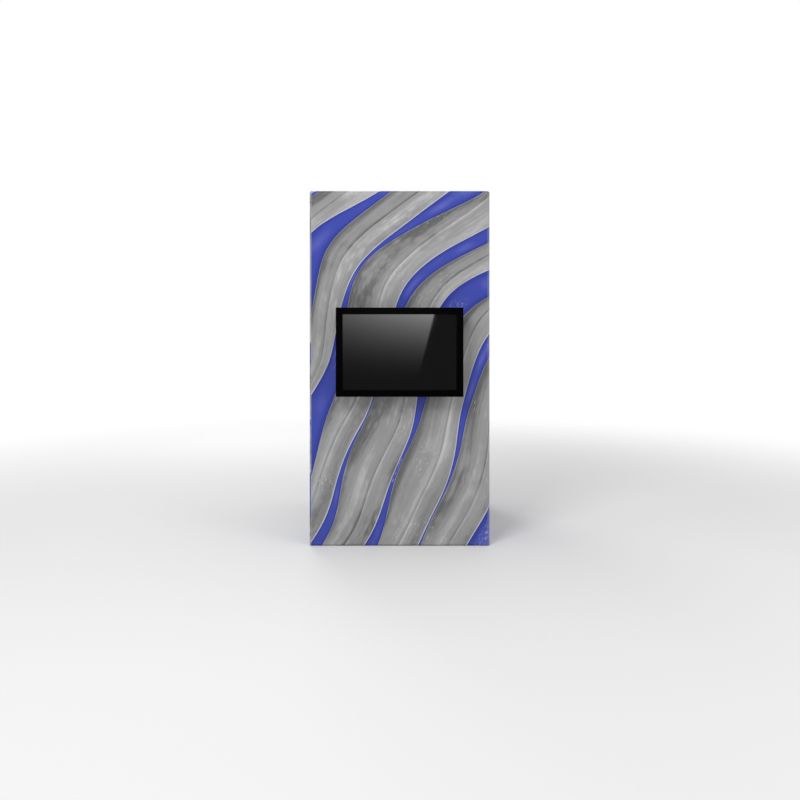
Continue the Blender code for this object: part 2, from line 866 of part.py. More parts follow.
arm_holes = [circle(0, -lock_radius, lock_stud_radius + fit_gap)]
latch_slot_half = (latch_travel + 2 * fit_gap) / 2

carriage = add_object("carriage_slide", None, parts)
carriage.location = (0, lip_front_y, mount_height)
tilt_axis = add_object("tilt_axis", None, parts)
tilt_axis.location = (0, pivot_y, pivot_z)


def knob_grip(near, side):
    """The knob's lobed grip along X, from its near face, with both rims eased."""
    bm = bmesh.new()
    count = knob_lobes * lobe_steps
    rims = ((knob_edge, 0), (0, knob_edge), (0, knob_thickness - knob_edge), (knob_edge, knob_thickness))
    loops = []
    for inset, along in rims:
        loop = []
        for step in range(count):
            angle = math.tau * step / count
            swell = (1 - math.cos(knob_lobes * angle)) / 2
            radius = knob_radius - inset - knob_lobe_depth * swell
            spot = (near + side * along, radius * math.cos(angle), radius * math.sin(angle))
            loop.append(bm.verts.new(spot))
        loops.append(loop)
    for first, second in zip(loops, loops[1:]):
        for index in range(count):
            after = (index + 1) % count
            bm.faces.new((first[index], first[after], second[after], second[index]))
    bm.faces.new(loops[0])
    bm.faces.new(loops[-1])
    bmesh.ops.recalc_face_normals(bm, faces=bm.faces)
    return mesh_object("knob", bm)


for side_name, side in (("left", -1), ("right", 1)):
    x = side * bracket_spacing / 2
    bracket = flat_shape("bracket", [strip(bracket_path, sheet)], bracket_width, facing_side, (x, 0, 0))
    extras = []
    for edge in (-1, 1):
        spot = (x + edge * (bracket_width - sheet) / 2, pivot_y, pivot_z)
        extras.append(flat_shape("cheek", [cheek] + cheek_holes, sheet, facing_side, spot))
    rivet_z = mount_height - latch_rivet_height
    latch_y = bracket_front_y - fit_gap - latch_sheet / 2
    rivet_tip = latch_y - latch_sheet / 2 - fit_gap
    extras.append(rod("rivet", latch_rivet_radius, (x, bracket_web_y, rivet_z), (x, rivet_tip, rivet_z)))
    head_end = rivet_tip - latch_rivet_head
    extras.append(rod("rivet_head", latch_rivet_head_radius, (x, rivet_tip, rivet_z), (x, head_end, rivet_z)))
    bracket = settle(combine(bracket, extras, "UNION"), "hook_bracket_" + side_name, "mount_steel")

    arm = flat_shape(
        "arm",
        [
            rectangle(2 * arm_outer_half, arm_height),
            circle(0, arm_screw_spacing / 2, arm_screw_radius),
            circle(0, -arm_screw_spacing / 2, arm_screw_radius),
            upright_slot(0, arm_slot_spacing / 2, arm_slot_length / 2 - arm_screw_radius, arm_screw_radius),
            upright_slot(0, -arm_slot_spacing / 2, arm_slot_length / 2 - arm_screw_radius, arm_screw_radius),
        ],
        sheet,
        facing_front,
        (x, arm_web_y, pivot_z),
    )
    extras = []
    for edge in (-1, 1):
        spot = (x + edge * (arm_outer_half - sheet / 2), pivot_y, pivot_z)
        extras.append(flat_shape("arm_cheek", [arm_cheek] + arm_holes, sheet, facing_side, spot))
    pin_half = bracket_width / 2 + pivot_stand
    pin_start = (x - pin_half, pivot_y, pivot_z)
    extras.append(rod("pivot", pivot_radius, pin_start, (x + pin_half, pivot_y, pivot_z)))
    arm = settle(combine(arm, extras, "UNION"), "tilt_arm_" + side_name, "mount_steel")

    lock_z = pivot_z - lock_radius
    knob_face = side * (bracket_width / 2 + fit_gap)
    neck_end = knob_face + side * knob_neck_length
    knob_mid = neck_end + side * knob_thickness / 2
    stud_end = side * (arm_outer_half - sheet - overrun)
    knob = knob_grip(neck_end, side)
    neck = rod("neck", knob_neck_radius, (knob_face, 0, 0), (knob_mid, 0, 0))
    thread = rod("thread", lock_stud_radius, (stud_end, 0, 0), (knob_mid, 0, 0))
    knob = combine(knob, [neck, thread], "UNION")
    knob = settle(knob, "tilt_knob_" + side_name, "knob_plastic", (x, pivot_y, lock_z))

    web_end = mount_height - half_web - bracket_drop
    latch_foot_z = web_end - fit_gap - latch_sheet / 2
    latch_tip_z = mount_height - lip_top_z + latch_hold
    latch_path = [
        (latch_y, mount_height - latch_top_height),
        (latch_y, latch_foot_z),
        (tongue_y, latch_foot_z),
        (tongue_y, latch_tip_z),
    ]
    latch = flat_shape("latch", [strip(latch_path, latch_sheet)], latch_width, facing_side, (x, 0, 0))
    slot = upright_slot(0, 0, latch_slot_half, latch_rivet_radius + fit_gap)
    slot_z = rivet_z + latch_slot_half
    slot_cutter = flat_shape("latch_slot", [slot], 2 * latch_sheet, facing_front, (x, latch_y, slot_z))
    ring_z = latch_foot_z - latch_ring_radius
    ring = flat_shape(
        "latch_ring",
        [circle(0, 0, latch_ring_radius), circle(0, 0, latch_ring_hole_radius)],
        latch_sheet,
        facing_front,
        (x, latch_y, ring_z),
    )
    combine(latch, [slot_cutter], "DIFFERENCE")
    combine(latch, [ring], "UNION")
    latch = settle(latch, "safety_latch_" + side_name, "steel")
    move_origin(latch, (x, latch_y, rivet_z))
    hang_on(carriage, [bracket, latch])
    hang_on(tilt_axis, [arm, knob])


# Screen: bezel, glass, display module and rear cover, from the front backwards


def depth(distance):
    """World Y at a distance behind the screen's front face."""
    return monitor_front_y + distance


def slab(name, width, height, near, far, x=0, z=0):
    """A box between two depths, placed from the screen's centre."""
    size = (width, far - near, height)
    return box(name, size, (x, depth((near + far) / 2), mount_height + z))


monitor = []
bezel = slab("bezel", monitor_width, monitor_height, 0, bezel_depth)
edge = bezel.modifiers.new("edge", "BEVEL")
edge.width = bezel_edge
edge.segments = edge_steps
window = slab("window", screen_width, screen_height, -overrun, bezel_depth)
pocket_width = monitor_width - 2 * bezel_wall
pocket_height = monitor_height - 2 * bezel_wall
pocket = slab("pocket", pocket_width, pocket_height, bezel_wall, bezel_depth + overrun)
monitor.append(settle(combine(bezel, [window, pocket], "DIFFERENCE"), "monitor_bezel", "bezel"))

glass_near = bezel_wall + fit_gap
glass_far = glass_near + glass_thickness
glass_width = screen_width + 2 * glass_overlap
glass_height = screen_height + 2 * glass_overlap
glass = slab("glass", glass_width, glass_height, glass_near, glass_far)
monitor.append(settle(glass, "monitor_screen", "glass"))

module_near = glass_far + fit_gap
module_far = module_near + module_thickness
module_width = screen_width + 2 * module_overlap
module_height = screen_height + 2 * module_overlap
module = slab("module", module_width, module_height, module_near, module_far)
edge = module.modifiers.new("edge", "BEVEL")
edge.width = module_edge
edge.segments = edge_steps
rib_far = module_far + module_rib_height
ribs = []
for z in (-module_rib_spacing / 2, module_rib_spacing / 2):
    length = module_rib_length
    ribs.append(slab("rib", length, module_rib_width, module_far - overrun, rib_far, 0, z))
monitor.append(settle(combine(module, ribs, "UNION"), "display_module", "module"))


def cover_rings():
    """The rear cover's outlines as width, height, corner radius and depth."""
    rim_near = bezel_depth + fit_gap
    rim_far = rim_near + cover_rim_depth
    slope_far = rim_far + cover_slope_depth
    round_near = monitor_depth - cover_round_depth
    draft_width = hump_width - hump_draft
    draft_height = hump_height - hump_draft
    return [
        (monitor_width, monitor_height, rim_corner_radius, rim_near),
        (monitor_width, monitor_height, rim_corner_radius, rim_far),
        (hump_width, hump_height, cover_corner_radius, slope_far),
        (draft_width, draft_height, cover_corner_radius, round_near),
        (draft_width - hump_round, draft_height - hump_round, cover_corner_radius, monitor_depth),
    ]


def cover_shell():
    """The moulded rear cover, lofted through its outlines and given a wall."""
    bm = bmesh.new()
    loops = []
    for width, height, radius, distance in cover_rings():
        outline = rounded(width, height, radius)
        loops.append([bm.verts.new((u, depth(distance), mount_height + v)) for u, v in outline])
    for first, second in zip(loops, loops[1:]):
        for index in range(len(first)):
            after = (index + 1) % len(first)
            bm.faces.new((first[index], first[after], second[after], second[index]))
    bm.faces.new(loops[-1])
    bmesh.ops.recalc_face_normals(bm, faces=bm.faces)
    shell = mesh_object("cover", bm)
    wall = shell.modifiers.new("wall", "SOLIDIFY")
    wall.thickness = cover_wall
    wall.offset = -1
    wall.use_even_offset = True
    return bake(shell, "cover_shell", cutters)


rings = cover_rings()
key_depth = bezel_depth + fit_gap + (cover_rim_depth - cover_wall) / 2
key_heights = [-key_drop - index * key_pitch for index in range(4)]
inlet_z = -panel_drop
cover_cuts = []
hump_side_z = (rings[2][1] + rings[3][1]) / 4
hump_side_depth = (rings[2][3] + rings[3][3]) / 2
for index in range(vent_count):
    x = (index - (vent_count - 1) / 2) * vent_pitch
    for side in (-1, 1):
        spot = (x, depth(hump_side_depth), mount_height + side * hump_side_z)
        size = (vent_width, rings[3][3] - rings[2][3] - cover_wall, vent_length)
        cover_cuts.append(box("vent", size, spot))
for z in key_heights:
    hole_length = key_length + 2 * fit_gap
    hole_width = key_width + 2 * fit_gap
    spot = (monitor_width / 2 - cover_wall / 2, depth(key_depth), mount_height + z)
    cover_cuts.append(box("key_hole", (2 * cover_wall, hole_width, hole_length), spot))
window_width = panel_width - 2 * panel_window_inset
window_height = panel_height - 2 * panel_window_inset
wall_mid = monitor_depth - cover_wall / 2
wall_near = wall_mid - cover_wall
wall_far = wall_mid + cover_wall
port_window = slab("port_window", window_width, window_height, wall_near, wall_far, panel_centre_x, inlet_z)
cover_cuts.append(port_window)
inlet_hole_width = inlet_width + 2 * fit_gap
inlet_hole_height = inlet_height + 2 * fit_gap
cover_cuts.append(
    slab("inlet_window", inlet_hole_width, inlet_hole_height, wall_near, wall_far, inlet_centre_x, inlet_z)
)
monitor.append(settle(combine(cover_shell(), cover_cuts, "DIFFERENCE"), "monitor_back_cover", "cover"))


# Boards on the module's ribs

board_near = rib_far + fit_gap
board_far = board_near + board_thickness
part_shares = {
    "main_board": (
        (0.00, 0.10, 0.30, 0.32, 0.60),
        (-0.32, 0.28, 0.16, 0.20, 0.25),
        (0.33, 0.30, 0.14, 0.14, 0.20),
        (-0.30, -0.18, 0.20, 0.12, 0.15),
        (0.30, -0.10, 0.18, 0.18, 0.35),
    ),
    "power_board": (
        (-0.22, 0.20, 0.34, 0.36, 0.95),
        (0.26, 0.22, 0.26, 0.26, 0.80),
        (0.28, -0.20, 0.20, 0.34, 0.70),
        (-0.26, -0.26, 0.28, 0.20, 0.50),
    ),
}
component_height = monitor_depth - cover_wall - 3 * fit_gap - board_far


def board(name, width, height, x):
    """A circuit board with its blocks, placed as shares of its size."""
    base = slab(name, width, height, board_near, board_far, x, 0)
    blocks = []
    for u_share, v_share, width_share, height_share, rise_share in part_shares[name]:
        far = board_far + rise_share * component_height
        near = board_far - board_thickness / 2
        place = (x + u_share * width, v_share * height)
        blocks.append(slab("block", width_share * width, height_share * height, near, far, *place))
    return settle(combine(base, blocks, "UNION"), name, "board")


monitor.append(board("main_board", main_board_width, main_board_height, -board_offset))
monitor.append(board("power_board", power_board_width, power_board_height, board_offset))


# Connector panel and mains inlet in the rear wall

port_shares = (
    (-0.40, 0.14, 0.22),
    (-0.22, 0.14, 0.22),
    (-0.02, 0.16, 0.32),
    (0.18, 0.10, 0.22),
    (0.34, 0.08, 0.30),
)
panel_far = monitor_depth - cover_wall - fit_gap
panel_near = panel_far - panel_thickness
panel_plate = slab("panel", panel_width, panel_height, panel_near, panel_far, panel_centre_x, inlet_z)
ports = []
for u_share, width_share, height_share in port_shares:
    x = panel_centre_x + u_share * window_width
    width = width_share * window_width
    height = height_share * panel_height
    port_near = panel_near + panel_thickness / 2
    ports.append(slab("port", width, height, port_near, monitor_depth - fit_gap, x, inlet_z))
monitor.append(settle(combine(panel_plate, ports, "UNION"), "connector_panel", "module"))

inlet_far = monitor_depth + fit_gap + inlet_flange_thickness
inlet_near = inlet_far - inlet_depth
inlet_body = slab("inlet", inlet_width, inlet_height, inlet_near, inlet_far, inlet_centre_x, inlet_z)
flange_width = inlet_width + 2 * inlet_flange
flange_height = inlet_height + 2 * inlet_flange
flange_near = monitor_depth + fit_gap
flange = slab("flange", flange_width, flange_height, flange_near, inlet_far, inlet_centre_x, inlet_z)
cavity_width = inlet_width - 2 * inlet_wall
cavity_height = inlet_height - 2 * inlet_wall
cavity_near = inlet_near + inlet_floor
cavity_far = inlet_far + overrun
cavity = slab("cavity", cavity_width, cavity_height, cavity_near, cavity_far, inlet_centre_x, inlet_z)
pins = []
for index in (-1, 0, 1):
    x = inlet_centre_x + index * inlet_pin_pitch
    z = inlet_z + (inlet_pin_rise / 2 if index == 0 else -inlet_pin_rise / 2)
    tip = cavity_near + inlet_pin_length
    pins.append(slab("pin", inlet_pin_thickness, inlet_pin_width, inlet_near + overrun, tip, x, z))
combine(inlet_body, [flange], "UNION")
combine(inlet_body, [cavity], "DIFFERENCE")
combine(inlet_body, pins, "UNION")
monitor.append(settle(inlet_body, "power_inlet", "socket"))


# Keys in the right edge of the rear cover

key_face = monitor_width / 2 + key_stand
key_back = monitor_width / 2 - cover_wall - key_stand
for name, z in zip(("power", "input", "plus", "minus"), key_heights):
    spot = (0, depth(key_depth), mount_height + z)
    cap_size = (key_face - key_back, key_width, key_length)
    cap = box("cap", cap_size, ((key_face + key_back) / 2, spot[1], spot[2]))
    edge = cap.modifiers.new("edge", "BEVEL")
    edge.width = key_edge
    edge.segments = 1
    flange_size = (key_flange_thickness, key_width + 2 * key_flange, key_length + 2 * key_flange)
    flange_x = key_back - key_flange_thickness / 2
    key_plate = box("key_plate", flange_size, (flange_x + key_edge, spot[1], spot[2]))
    key = settle(combine(cap, [key_plate], "UNION"), "key_" + name, "knob_plastic")
    monitor.append(move_origin(key, (key_face, spot[1], spot[2])))

hang_on(tilt_axis, monitor)
tilt_axis.parent = carriage
tilt_axis.location = tilt_axis.location - carriage.location
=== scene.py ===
import math

import bmesh
import bpy
import numpy as np
from mathutils import Matrix, Vector


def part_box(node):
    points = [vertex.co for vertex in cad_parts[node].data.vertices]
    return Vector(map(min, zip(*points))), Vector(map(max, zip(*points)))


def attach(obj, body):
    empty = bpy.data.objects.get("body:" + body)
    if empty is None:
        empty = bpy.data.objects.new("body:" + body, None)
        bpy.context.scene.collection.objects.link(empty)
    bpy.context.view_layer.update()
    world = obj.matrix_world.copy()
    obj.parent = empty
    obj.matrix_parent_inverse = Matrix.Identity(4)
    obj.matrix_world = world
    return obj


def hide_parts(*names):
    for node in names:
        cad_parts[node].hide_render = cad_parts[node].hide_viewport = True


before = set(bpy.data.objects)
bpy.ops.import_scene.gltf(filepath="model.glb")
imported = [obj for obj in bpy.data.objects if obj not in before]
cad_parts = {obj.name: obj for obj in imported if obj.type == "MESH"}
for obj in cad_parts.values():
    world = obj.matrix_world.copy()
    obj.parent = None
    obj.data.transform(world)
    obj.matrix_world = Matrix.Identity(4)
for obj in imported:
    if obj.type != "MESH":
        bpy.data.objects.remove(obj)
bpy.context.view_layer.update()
print("frame loaded:", len(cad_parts), "nodes")
quarter = math.pi / 2


def middleOf(node, axis):
    low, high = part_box(node)
    return (low[axis] + high[axis]) / 2


# The tower's main sizes in metres, from the solids where they show them

lidLow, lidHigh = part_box("sleeve_top")
tower = {
    "halfWidth": lidHigh[0],
    "height": lidHigh[2],
    "lidZ": lidLow[2],  # lower edge of the lid
    "frontY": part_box("sleeve_front")[0][1],
    "rearY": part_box("sleeve_rear")[1][1],
    "cornerRadius": 0.0161,
    "hemHeight": 0.003,
    "seamAngle": math.radians(70),
    "studX": 0.18,
    "studZ": (1.239, 1.389),
}
tower["postX"] = tower["halfWidth"] - tower["cornerRadius"]
tower["postFrontY"] = tower["frontY"] + tower["cornerRadius"]
tower["postRearY"] = tower["rearY"] - tower["cornerRadius"]


# Node helpers

def addNode(tree, kind, inputs=None, **settings):
    made = tree.nodes.new(kind)
    for key, value in settings.items():
        setattr(made, key, value)
    for key, value in (inputs or {}).items():
        socket = made.inputs[key]
        if isinstance(value, bpy.types.NodeSocket):
            tree.links.new(value, socket)
        else:
            socket.default_value = value
    return made


def maths(tree, operation, first, second=0.0, third=0.0):
    return addNode(tree, "ShaderNodeMath", {0: first, 1: second, 2: third}, operation=operation).outputs[0]


def times(tree, first, second):
    return maths(tree, "MULTIPLY", first, second)


def plus(tree, first, second):
    return maths(tree, "ADD", first, second)


def scaled(tree, value, factor, offset):
    # value * factor + offset
    return maths(tree, "MULTIPLY_ADD", value, factor, offset)


def wave(tree, along, rate, start=0.0, size=1.0):
    # size * sin(along * rate + start)
    return times(tree, maths(tree, "SINE", scaled(tree, along, rate, start)), size)


def noise(tree, place, scale, detail=2.0, roughness=0.5):
    inputs = {"Vector": place, "Scale": scale, "Detail": detail, "Roughness": roughness}
    return addNode(tree, "ShaderNodeTexNoise", inputs, noise_dimensions="3D").outputs["Fac"]


def between(tree, value, low, high, outLow=0.0, outHigh=1.0, kind="SMOOTHSTEP"):
    inputs = {"Value": value, "From Min": low, "From Max": high, "To Min": outLow, "To Max": outHigh}
    return addNode(tree, "ShaderNodeMapRange", inputs, interpolation_type=kind).outputs[0]


def mixColour(tree, factor, first, second):
    made = addNode(tree, "ShaderNodeMix", data_type="RGBA")
    for key, value in ((0, factor), (6, first), (7, second)):
        if isinstance(value, bpy.types.NodeSocket):
            tree.links.new(value, made.inputs[key])
        else:
            made.inputs[key].default_value = (*value, 1.0) if key else value
    return made.outputs[2]


def bump(tree, height, distance, strength=1.0):
    inputs = {"Height": height, "Distance": distance, "Strength": strength}
    return addNode(tree, "ShaderNodeBump", inputs).outputs[0]


def splitPlace(tree, place):
    return addNode(tree, "ShaderNodeSeparateXYZ", {0: place}).outputs


def rawPlace(tree):
    return addNode(tree, "ShaderNodeTexCoord").outputs["Object"]


def objectPlace(tree, scale=(1.0, 1.0, 1.0)):
    return addNode(tree, "ShaderNodeMapping", {"Vector": rawPlace(tree), "Scale": scale}).outputs[0]


def newFinish(name, colour, roughness, metallic=0.0, **sockets):
    # A Principled material, its fixed values on the shader's own sockets
    made = bpy.data.materials.new(name)
    made.use_nodes = True
    tree = made.node_tree
    shader = tree.nodes["Principled BSDF"]
    shader.inputs["Base Color"].default_value = (*colour, 1.0)
    shader.inputs["Roughness"].default_value = roughness
    shader.inputs["Metallic"].default_value = metallic
    for key, value in sockets.items():
        shader.inputs[key.replace("_", " ")].default_value = value
    return made, tree, shader


def sheenFinish(name, colour, look):
    # Cloth or thread, with the roughness and the sheen of its settings
    weight, roughness = look["sheen"]
    return newFinish(name, colour, look["roughness"], Sheen_Weight=weight, Sheen_Roughness=roughness)


def feed(tree, shader, **sockets):
    # Links into the shader's sockets, with _ for a space in a socket's name
    for key, value in sockets.items():
        tree.links.new(value, shader.inputs[key.replace("_", " ")])


def bareFinish(name):
    # A material without a shader, for the pieces of the studio
    made = bpy.data.materials.new(name)
    made.use_nodes = True
    made.node_tree.nodes.clear()
    return made, made.node_tree


# Mesh helpers

def linked(name, mesh, finish=None):
    obj = bpy.data.objects.new(name, mesh)
    bpy.context.scene.collection.objects.link(obj)
    if finish:
        mesh.materials.append(finish)
    return obj


def meshFrom(name, bm, finish=None, smooth=True, sharp=None, outward=True):
    # The bmesh as an object; an open shape keeps its faces as they are with outward=False
    if outward:
        bmesh.ops.recalc_face_normals(bm, faces=bm.faces)
    for face in bm.faces:
        face.smooth = smooth
    mesh = bpy.data.meshes.new(name)
    bm.to_mesh(mesh)
    bm.free()
    if sharp is not None:
        mesh.set_sharp_from_angle(angle=math.radians(sharp))
    return linked(name, mesh, finish)


def freeze(obj):
    # The evaluated shape as a plain mesh, with no modifier left
    bpy.context.view_layer.update()
    shown = obj.evaluated_get(bpy.context.evaluated_depsgraph_get())
    mesh = bpy.data.meshes.new_from_object(shown)
    obj.modifiers.clear()
    obj.data = mesh
    mesh.name = obj.name
    return obj


def tangentAt(path, index):
    before = Vector(path[max(index - 1, 0)])
    after = Vector(path[min(index + 1, len(path) - 1)])
    return (after - before).normalized()


def bridge(bm, rings, capped=False):
    # Faces between neighbouring rings, and over both ends of a capped row
    for first, second in zip(rings, rings[1:]):
        for i in range(len(first)):
            j = (i + 1) % len(first)
            bm.faces.new((first[i], first[j], second[j], second[i]))
    if capped:
        bm.faces.new(rings[0])
        bm.faces.new(rings[-1][::-1])


def blockBetween(bm, low, high, edge, segments):
    # A block between two corners with eased edges
    low, high = Vector(low), Vector(high)
    size = Matrix.Diagonal((*(high - low), 1.0))
    bmesh.ops.create_cube(bm, size=1.0, matrix=Matrix.Translation((low + high) / 2) @ size)
    bmesh.ops.bevel(bm, geom=list(bm.edges), offset=edge, segments=segments, profile=0.5, affect="EDGES")


# Printed stretch fabric: wavy ribbons on a brushed satin ground

knitLook = {
    "pitch": 0.0011,
    "relief": 0.00012,
    "strength": 0.5,
    "rowRate": 0.8,  # rows against columns
    "rowBend": 0.8,
    "rowShare": 0.35,
}
printLook = {
    "sweep": math.radians(57),
    "wobble": 0.22,
    "wobbleScales": (0.9, 0.8),
    "shift": (7.3, 2.9, 0.0),  # sets the second noises apart from the first
    # Colours
    "ribbonDeep": (0.019, 0.034, 0.280),
    "ribbonMid": (0.037, 0.058, 0.378),
    "ribbonSheen": (0.125, 0.140, 0.500),
    "ribbonGlint": (0.620, 0.640, 0.780),
    "groundDark": (0.112, 0.112, 0.113),
    "groundMid": (0.288, 0.288, 0.288),
    "groundLight": (0.520, 0.520, 0.522),
    "edgeLight": (0.640, 0.640, 0.645),
    "glint": (0.800, 0.800, 0.810),
    # One ribbon in each band, that swings and swells along its way
    "bandSpacing": 0.330,
    "ribbonHalf": 0.092,
    "ribbonSwing": 0.165,
    "slowSwing": (2.1, 0.9),  # radians per metre along the sweep, start
    "quickSwing": (4.7, 2.2),
    "quickShare": 0.28,
    "bandSeeds": (0.37, 11.71, 23.13),
    "bandSwing": (1.7, 0.17),  # radians per metre, share of the band
    "bandSwell": 2.4,
    "swellRange": (0.10, 1.0),
    "swellChance": (0.45, 1.15),
    "printEdge": 0.0008,
    "sideBlend": 0.001,
    # Surface of the cloth
    "roughness": 0.62,
    "sheen": (0.12, 0.5),  # weight, roughness
    # Noises: scale, detail, roughness
    "streaks": (38.0, 4.0, 0.62),
    "fineStreaks": (210.0, 3.0, 0.6),
    "flecks": (120.0, 3.0, 0.65),
    "patches": (2.3, 3.0, 0.55),
    "beaten": (34.0, 0.6),  # scale and softness
    "beatenFade": (0.10, 0.60, -0.5, 0.5),
    # How much is left of their scale along the sweep
    "flow": {"streaks": 0.055, "fineStreaks": 0.10, "flecks": 0.24, "beaten": 0.42},
    # Where a mark shows: scale and detail of a noise, and the two levels it fades in between
    "beatenArea": (1.9, 2.0, 0.47, 0.62),
    "fleckArea": (2.9, 1.0, 0.52, 0.66),
    "sheenArea": (3.1, 1.0, 0.48, 0.70),
    "glossArea": (1.7, 1.0, 0.56, 0.66),
    # Shade of the ground, its layers and their weights
    "groundLevel": -0.40,
    "broadFold": 1.3,
    "fineFold": (47.0, 9.0),  # radians per metre, bend by the patches
    "lowerShadow": 0.055,
    "creaseDark": 0.075,  # shares of a band
    "creaseLight": 0.93,
    "weights": {
        "broadFold": 0.22,
        "fineFold": 0.085,
        "streaks": 0.70,
        "fineStreaks": 0.40,
        "patches": 0.70,
        "beaten": -0.21,
        "lowerShadow": -0.22,
        "creaseDark": -0.34,
        "creaseLight": 0.16,
    },
    "groundSteps": (0.0, 0.5, 1.05),
    # Lines along a ribbon's edges, fading between two distances
    "upperEdge": (0.0022, 0.0085),
    "lowerEdge": (0.0008, 0.0040),
    "lowerShare": 0.55,
    "edgeWear": (0.30, 0.62, 0.35, 0.95),
    "fleckFade": (0.56, 0.76),
    "fleckShare": 0.75,
    # Across a ribbon, 0 at its middle and 1 at its edge
    "leastHalf": 0.002,  # a ribbon's half width in metres, for the shares below
    "deepFrom": (0.45, 1.0),
    "sheenFade": (0.0, 0.7, 1.0, 0.0),
    "sheenWear": (0.35, 0.7, 0.45, 1.0),
    "glossFade": (0.48, 0.76),
    "glossInside": (0.10, 0.80, 0.80, 0.0),
}


def knitHeight(tree, place):
    # Columns of small loops, as on a warp-knit polyester
    look = knitLook
    split = splitPlace(tree, place)
    turns = math.tau / look["pitch"]
    columns = maths(tree, "ABSOLUTE", wave(tree, split[0], turns))
    along = scaled(tree, split[1], turns * look["rowRate"], times(tree, columns, look["rowBend"]))
    return scaled(tree, maths(tree, "SINE", along), look["rowShare"], columns)


def makePrintFinish():
    look = printLook
    finish, tree, shader = sheenFinish("printed_stretch_fabric", look["groundMid"], look)
    place = addNode(tree, "ShaderNodeUVMap", uv_map="print").outputs[0]
    moved = {0: place, 1: look["shift"]}
    shifted = addNode(tree, "ShaderNodeVectorMath", moved, operation="ADD").outputs[0]

    # The sweep's own axes, with a slow wobble of the whole pattern
    wobble = look["wobble"]
    u, v = (
        plus(tree, axis, scaled(tree, noise(tree, source, scale, 1.0), wobble, -wobble / 2))
        for axis, source, scale in zip(splitPlace(tree, place), (place, shifted), look["wobbleScales"])
    )
    cosine, sine = math.cos(look["sweep"]), math.sin(look["sweep"])
    along = scaled(tree, u, cosine, times(tree, v, sine))
    across = scaled(tree, v, cosine, times(tree, u, -sine))
    quick = look["ribbonSwing"] * look["quickShare"]
    across = plus(tree, across, wave(tree, along, *look["slowSwing"], look["ribbonSwing"]))
    across = plus(tree, across, wave(tree, along, *look["quickSwing"], quick))

    def flowPlace(name):
        # Coordinates drawn out along the sweep
        drawn = times(tree, along, look["flow"][name])
        return addNode(tree, "ShaderNodeCombineXYZ", {0: drawn, 1: across}).outputs[0]

    def area(name, source):
        # Soft patches of a noise
        scale, detail, low, high = look[name]
        return between(tree, noise(tree, source, scale, detail), low, high)

    def swinging(rate, chance):
        # A sine along the sweep that starts anywhere
        return maths(tree, "SINE", scaled(tree, along, rate, times(tree, chance, math.tau)))

    # Each band's ribbon: its middle, half width, and the distance from its edge
    spacing, blend = look["bandSpacing"], look["sideBlend"]
    bands = maths(tree, "DIVIDE", across, spacing)
    cell = maths(tree, "FLOOR", bands)
    part = maths(tree, "FRACT", bands)
    chance = []
    for offset in look["bandSeeds"]:
        seed = plus(tree, cell, offset)
        chance.append(addNode(tree, "ShaderNodeTexWhiteNoise", {"W": seed}, noise_dimensions="1D").outputs[0])
    rate, share = look["bandSwing"]
    centre = scaled(tree, swinging(rate, chance[0]), share, 0.5)
    swell = between(tree, swinging(look["bandSwell"], chance[1]), -1.0, 1.0, *look["swellRange"], "LINEAR")
    swell = times(tree, swell, between(tree, chance[2], 0.0, 1.0, *look["swellChance"], "LINEAR"))
    half = times(tree, swell, look["ribbonHalf"])
    off = times(tree, maths(tree, "SUBTRACT", part, centre), spacing)
    away = maths(tree, "ABSOLUTE", off)
    gap = maths(tree, "SUBTRACT", away, half)
    ribbonMask = between(tree, gap, -look["printEdge"], look["printEdge"], 1.0, 0.0)
    upperSide = between(tree, off, -blend, blend)
    lowerSide = maths(tree, "SUBTRACT", 1.0, upperSide)

    # Streaks and beaten marks that follow the sweep
    streaks, fineStreaks, flecks = (
        noise(tree, flowPlace(name), *look[name]) for name in ("streaks", "fineStreaks", "flecks")
    )
    patches = noise(tree, place, *look["patches"])
    scale, softness = look["beaten"]
    cells = {"Vector": flowPlace("beaten"), "Scale": scale, "Smoothness": softness, "Randomness": 1.0}
    beaten = addNode(tree, "ShaderNodeTexVoronoi", cells, feature="SMOOTH_F1").outputs["Distance"]
    beaten = times(tree, between(tree, beaten, *look["beatenFade"], "LINEAR"), area("beatenArea", shifted))

    # The ground: overlapping soft folds, dark beside a ribbon's lower edge,
    # with a crease where two folds meet, dark on one side and light on the other
    rate, bend = look["fineFold"]
    layers = {
        "broadFold": maths(tree, "SINE", scaled(tree, part, math.tau, times(tree, along, look["broadFold"]))),
        "fineFold": maths(tree, "SINE", scaled(tree, across, rate, times(tree, patches, bend))),
        "streaks": streaks,
        "fineStreaks": fineStreaks,
        "patches": patches,
        "beaten": beaten,
        "lowerShadow": times(tree, between(tree, gap, 0.0, look["lowerShadow"], 1.0, 0.0), lowerSide),
        "creaseDark": between(tree, part, 0.0, look["creaseDark"], 1.0, 0.0),
        "creaseLight": between(tree, part, look["creaseLight"], 1.0),
    }
    shade = look["groundLevel"]
    for name, layer in layers.items():
        shade = scaled(tree, layer, look["weights"][name], shade)
    dark, middle, light = look["groundSteps"]
    ground = mixColour(tree, between(tree, shade, dark, middle), look["groundDark"], look["groundMid"])
    ground = mixColour(tree, between(tree, shade, middle, light), ground, look["groundLight"])

    # Light edge on the ribbon's upper side, a finer one below
    upperEdge = times(tree, between(tree, gap, *look["upperEdge"], 1.0, 0.0), upperSide)
    lowerEdge = times(tree, between(tree, gap, *look["lowerEdge"], 1.0, 0.0), lowerSide)
    edge = scaled(tree, lowerEdge, look["lowerShare"], upperEdge)
    edge = times(tree, edge, between(tree, streaks, *look["edgeWear"]))
    ground = mixColour(tree, edge, ground, look["edgeLight"])

    # Scattered bright flecks of brushed metal
    bright = times(tree, between(tree, flecks, *look["fleckFade"]), area("fleckArea", shifted))
    ground = mixColour(tree, times(tree, bright, look["fleckShare"]), ground, look["glint"])

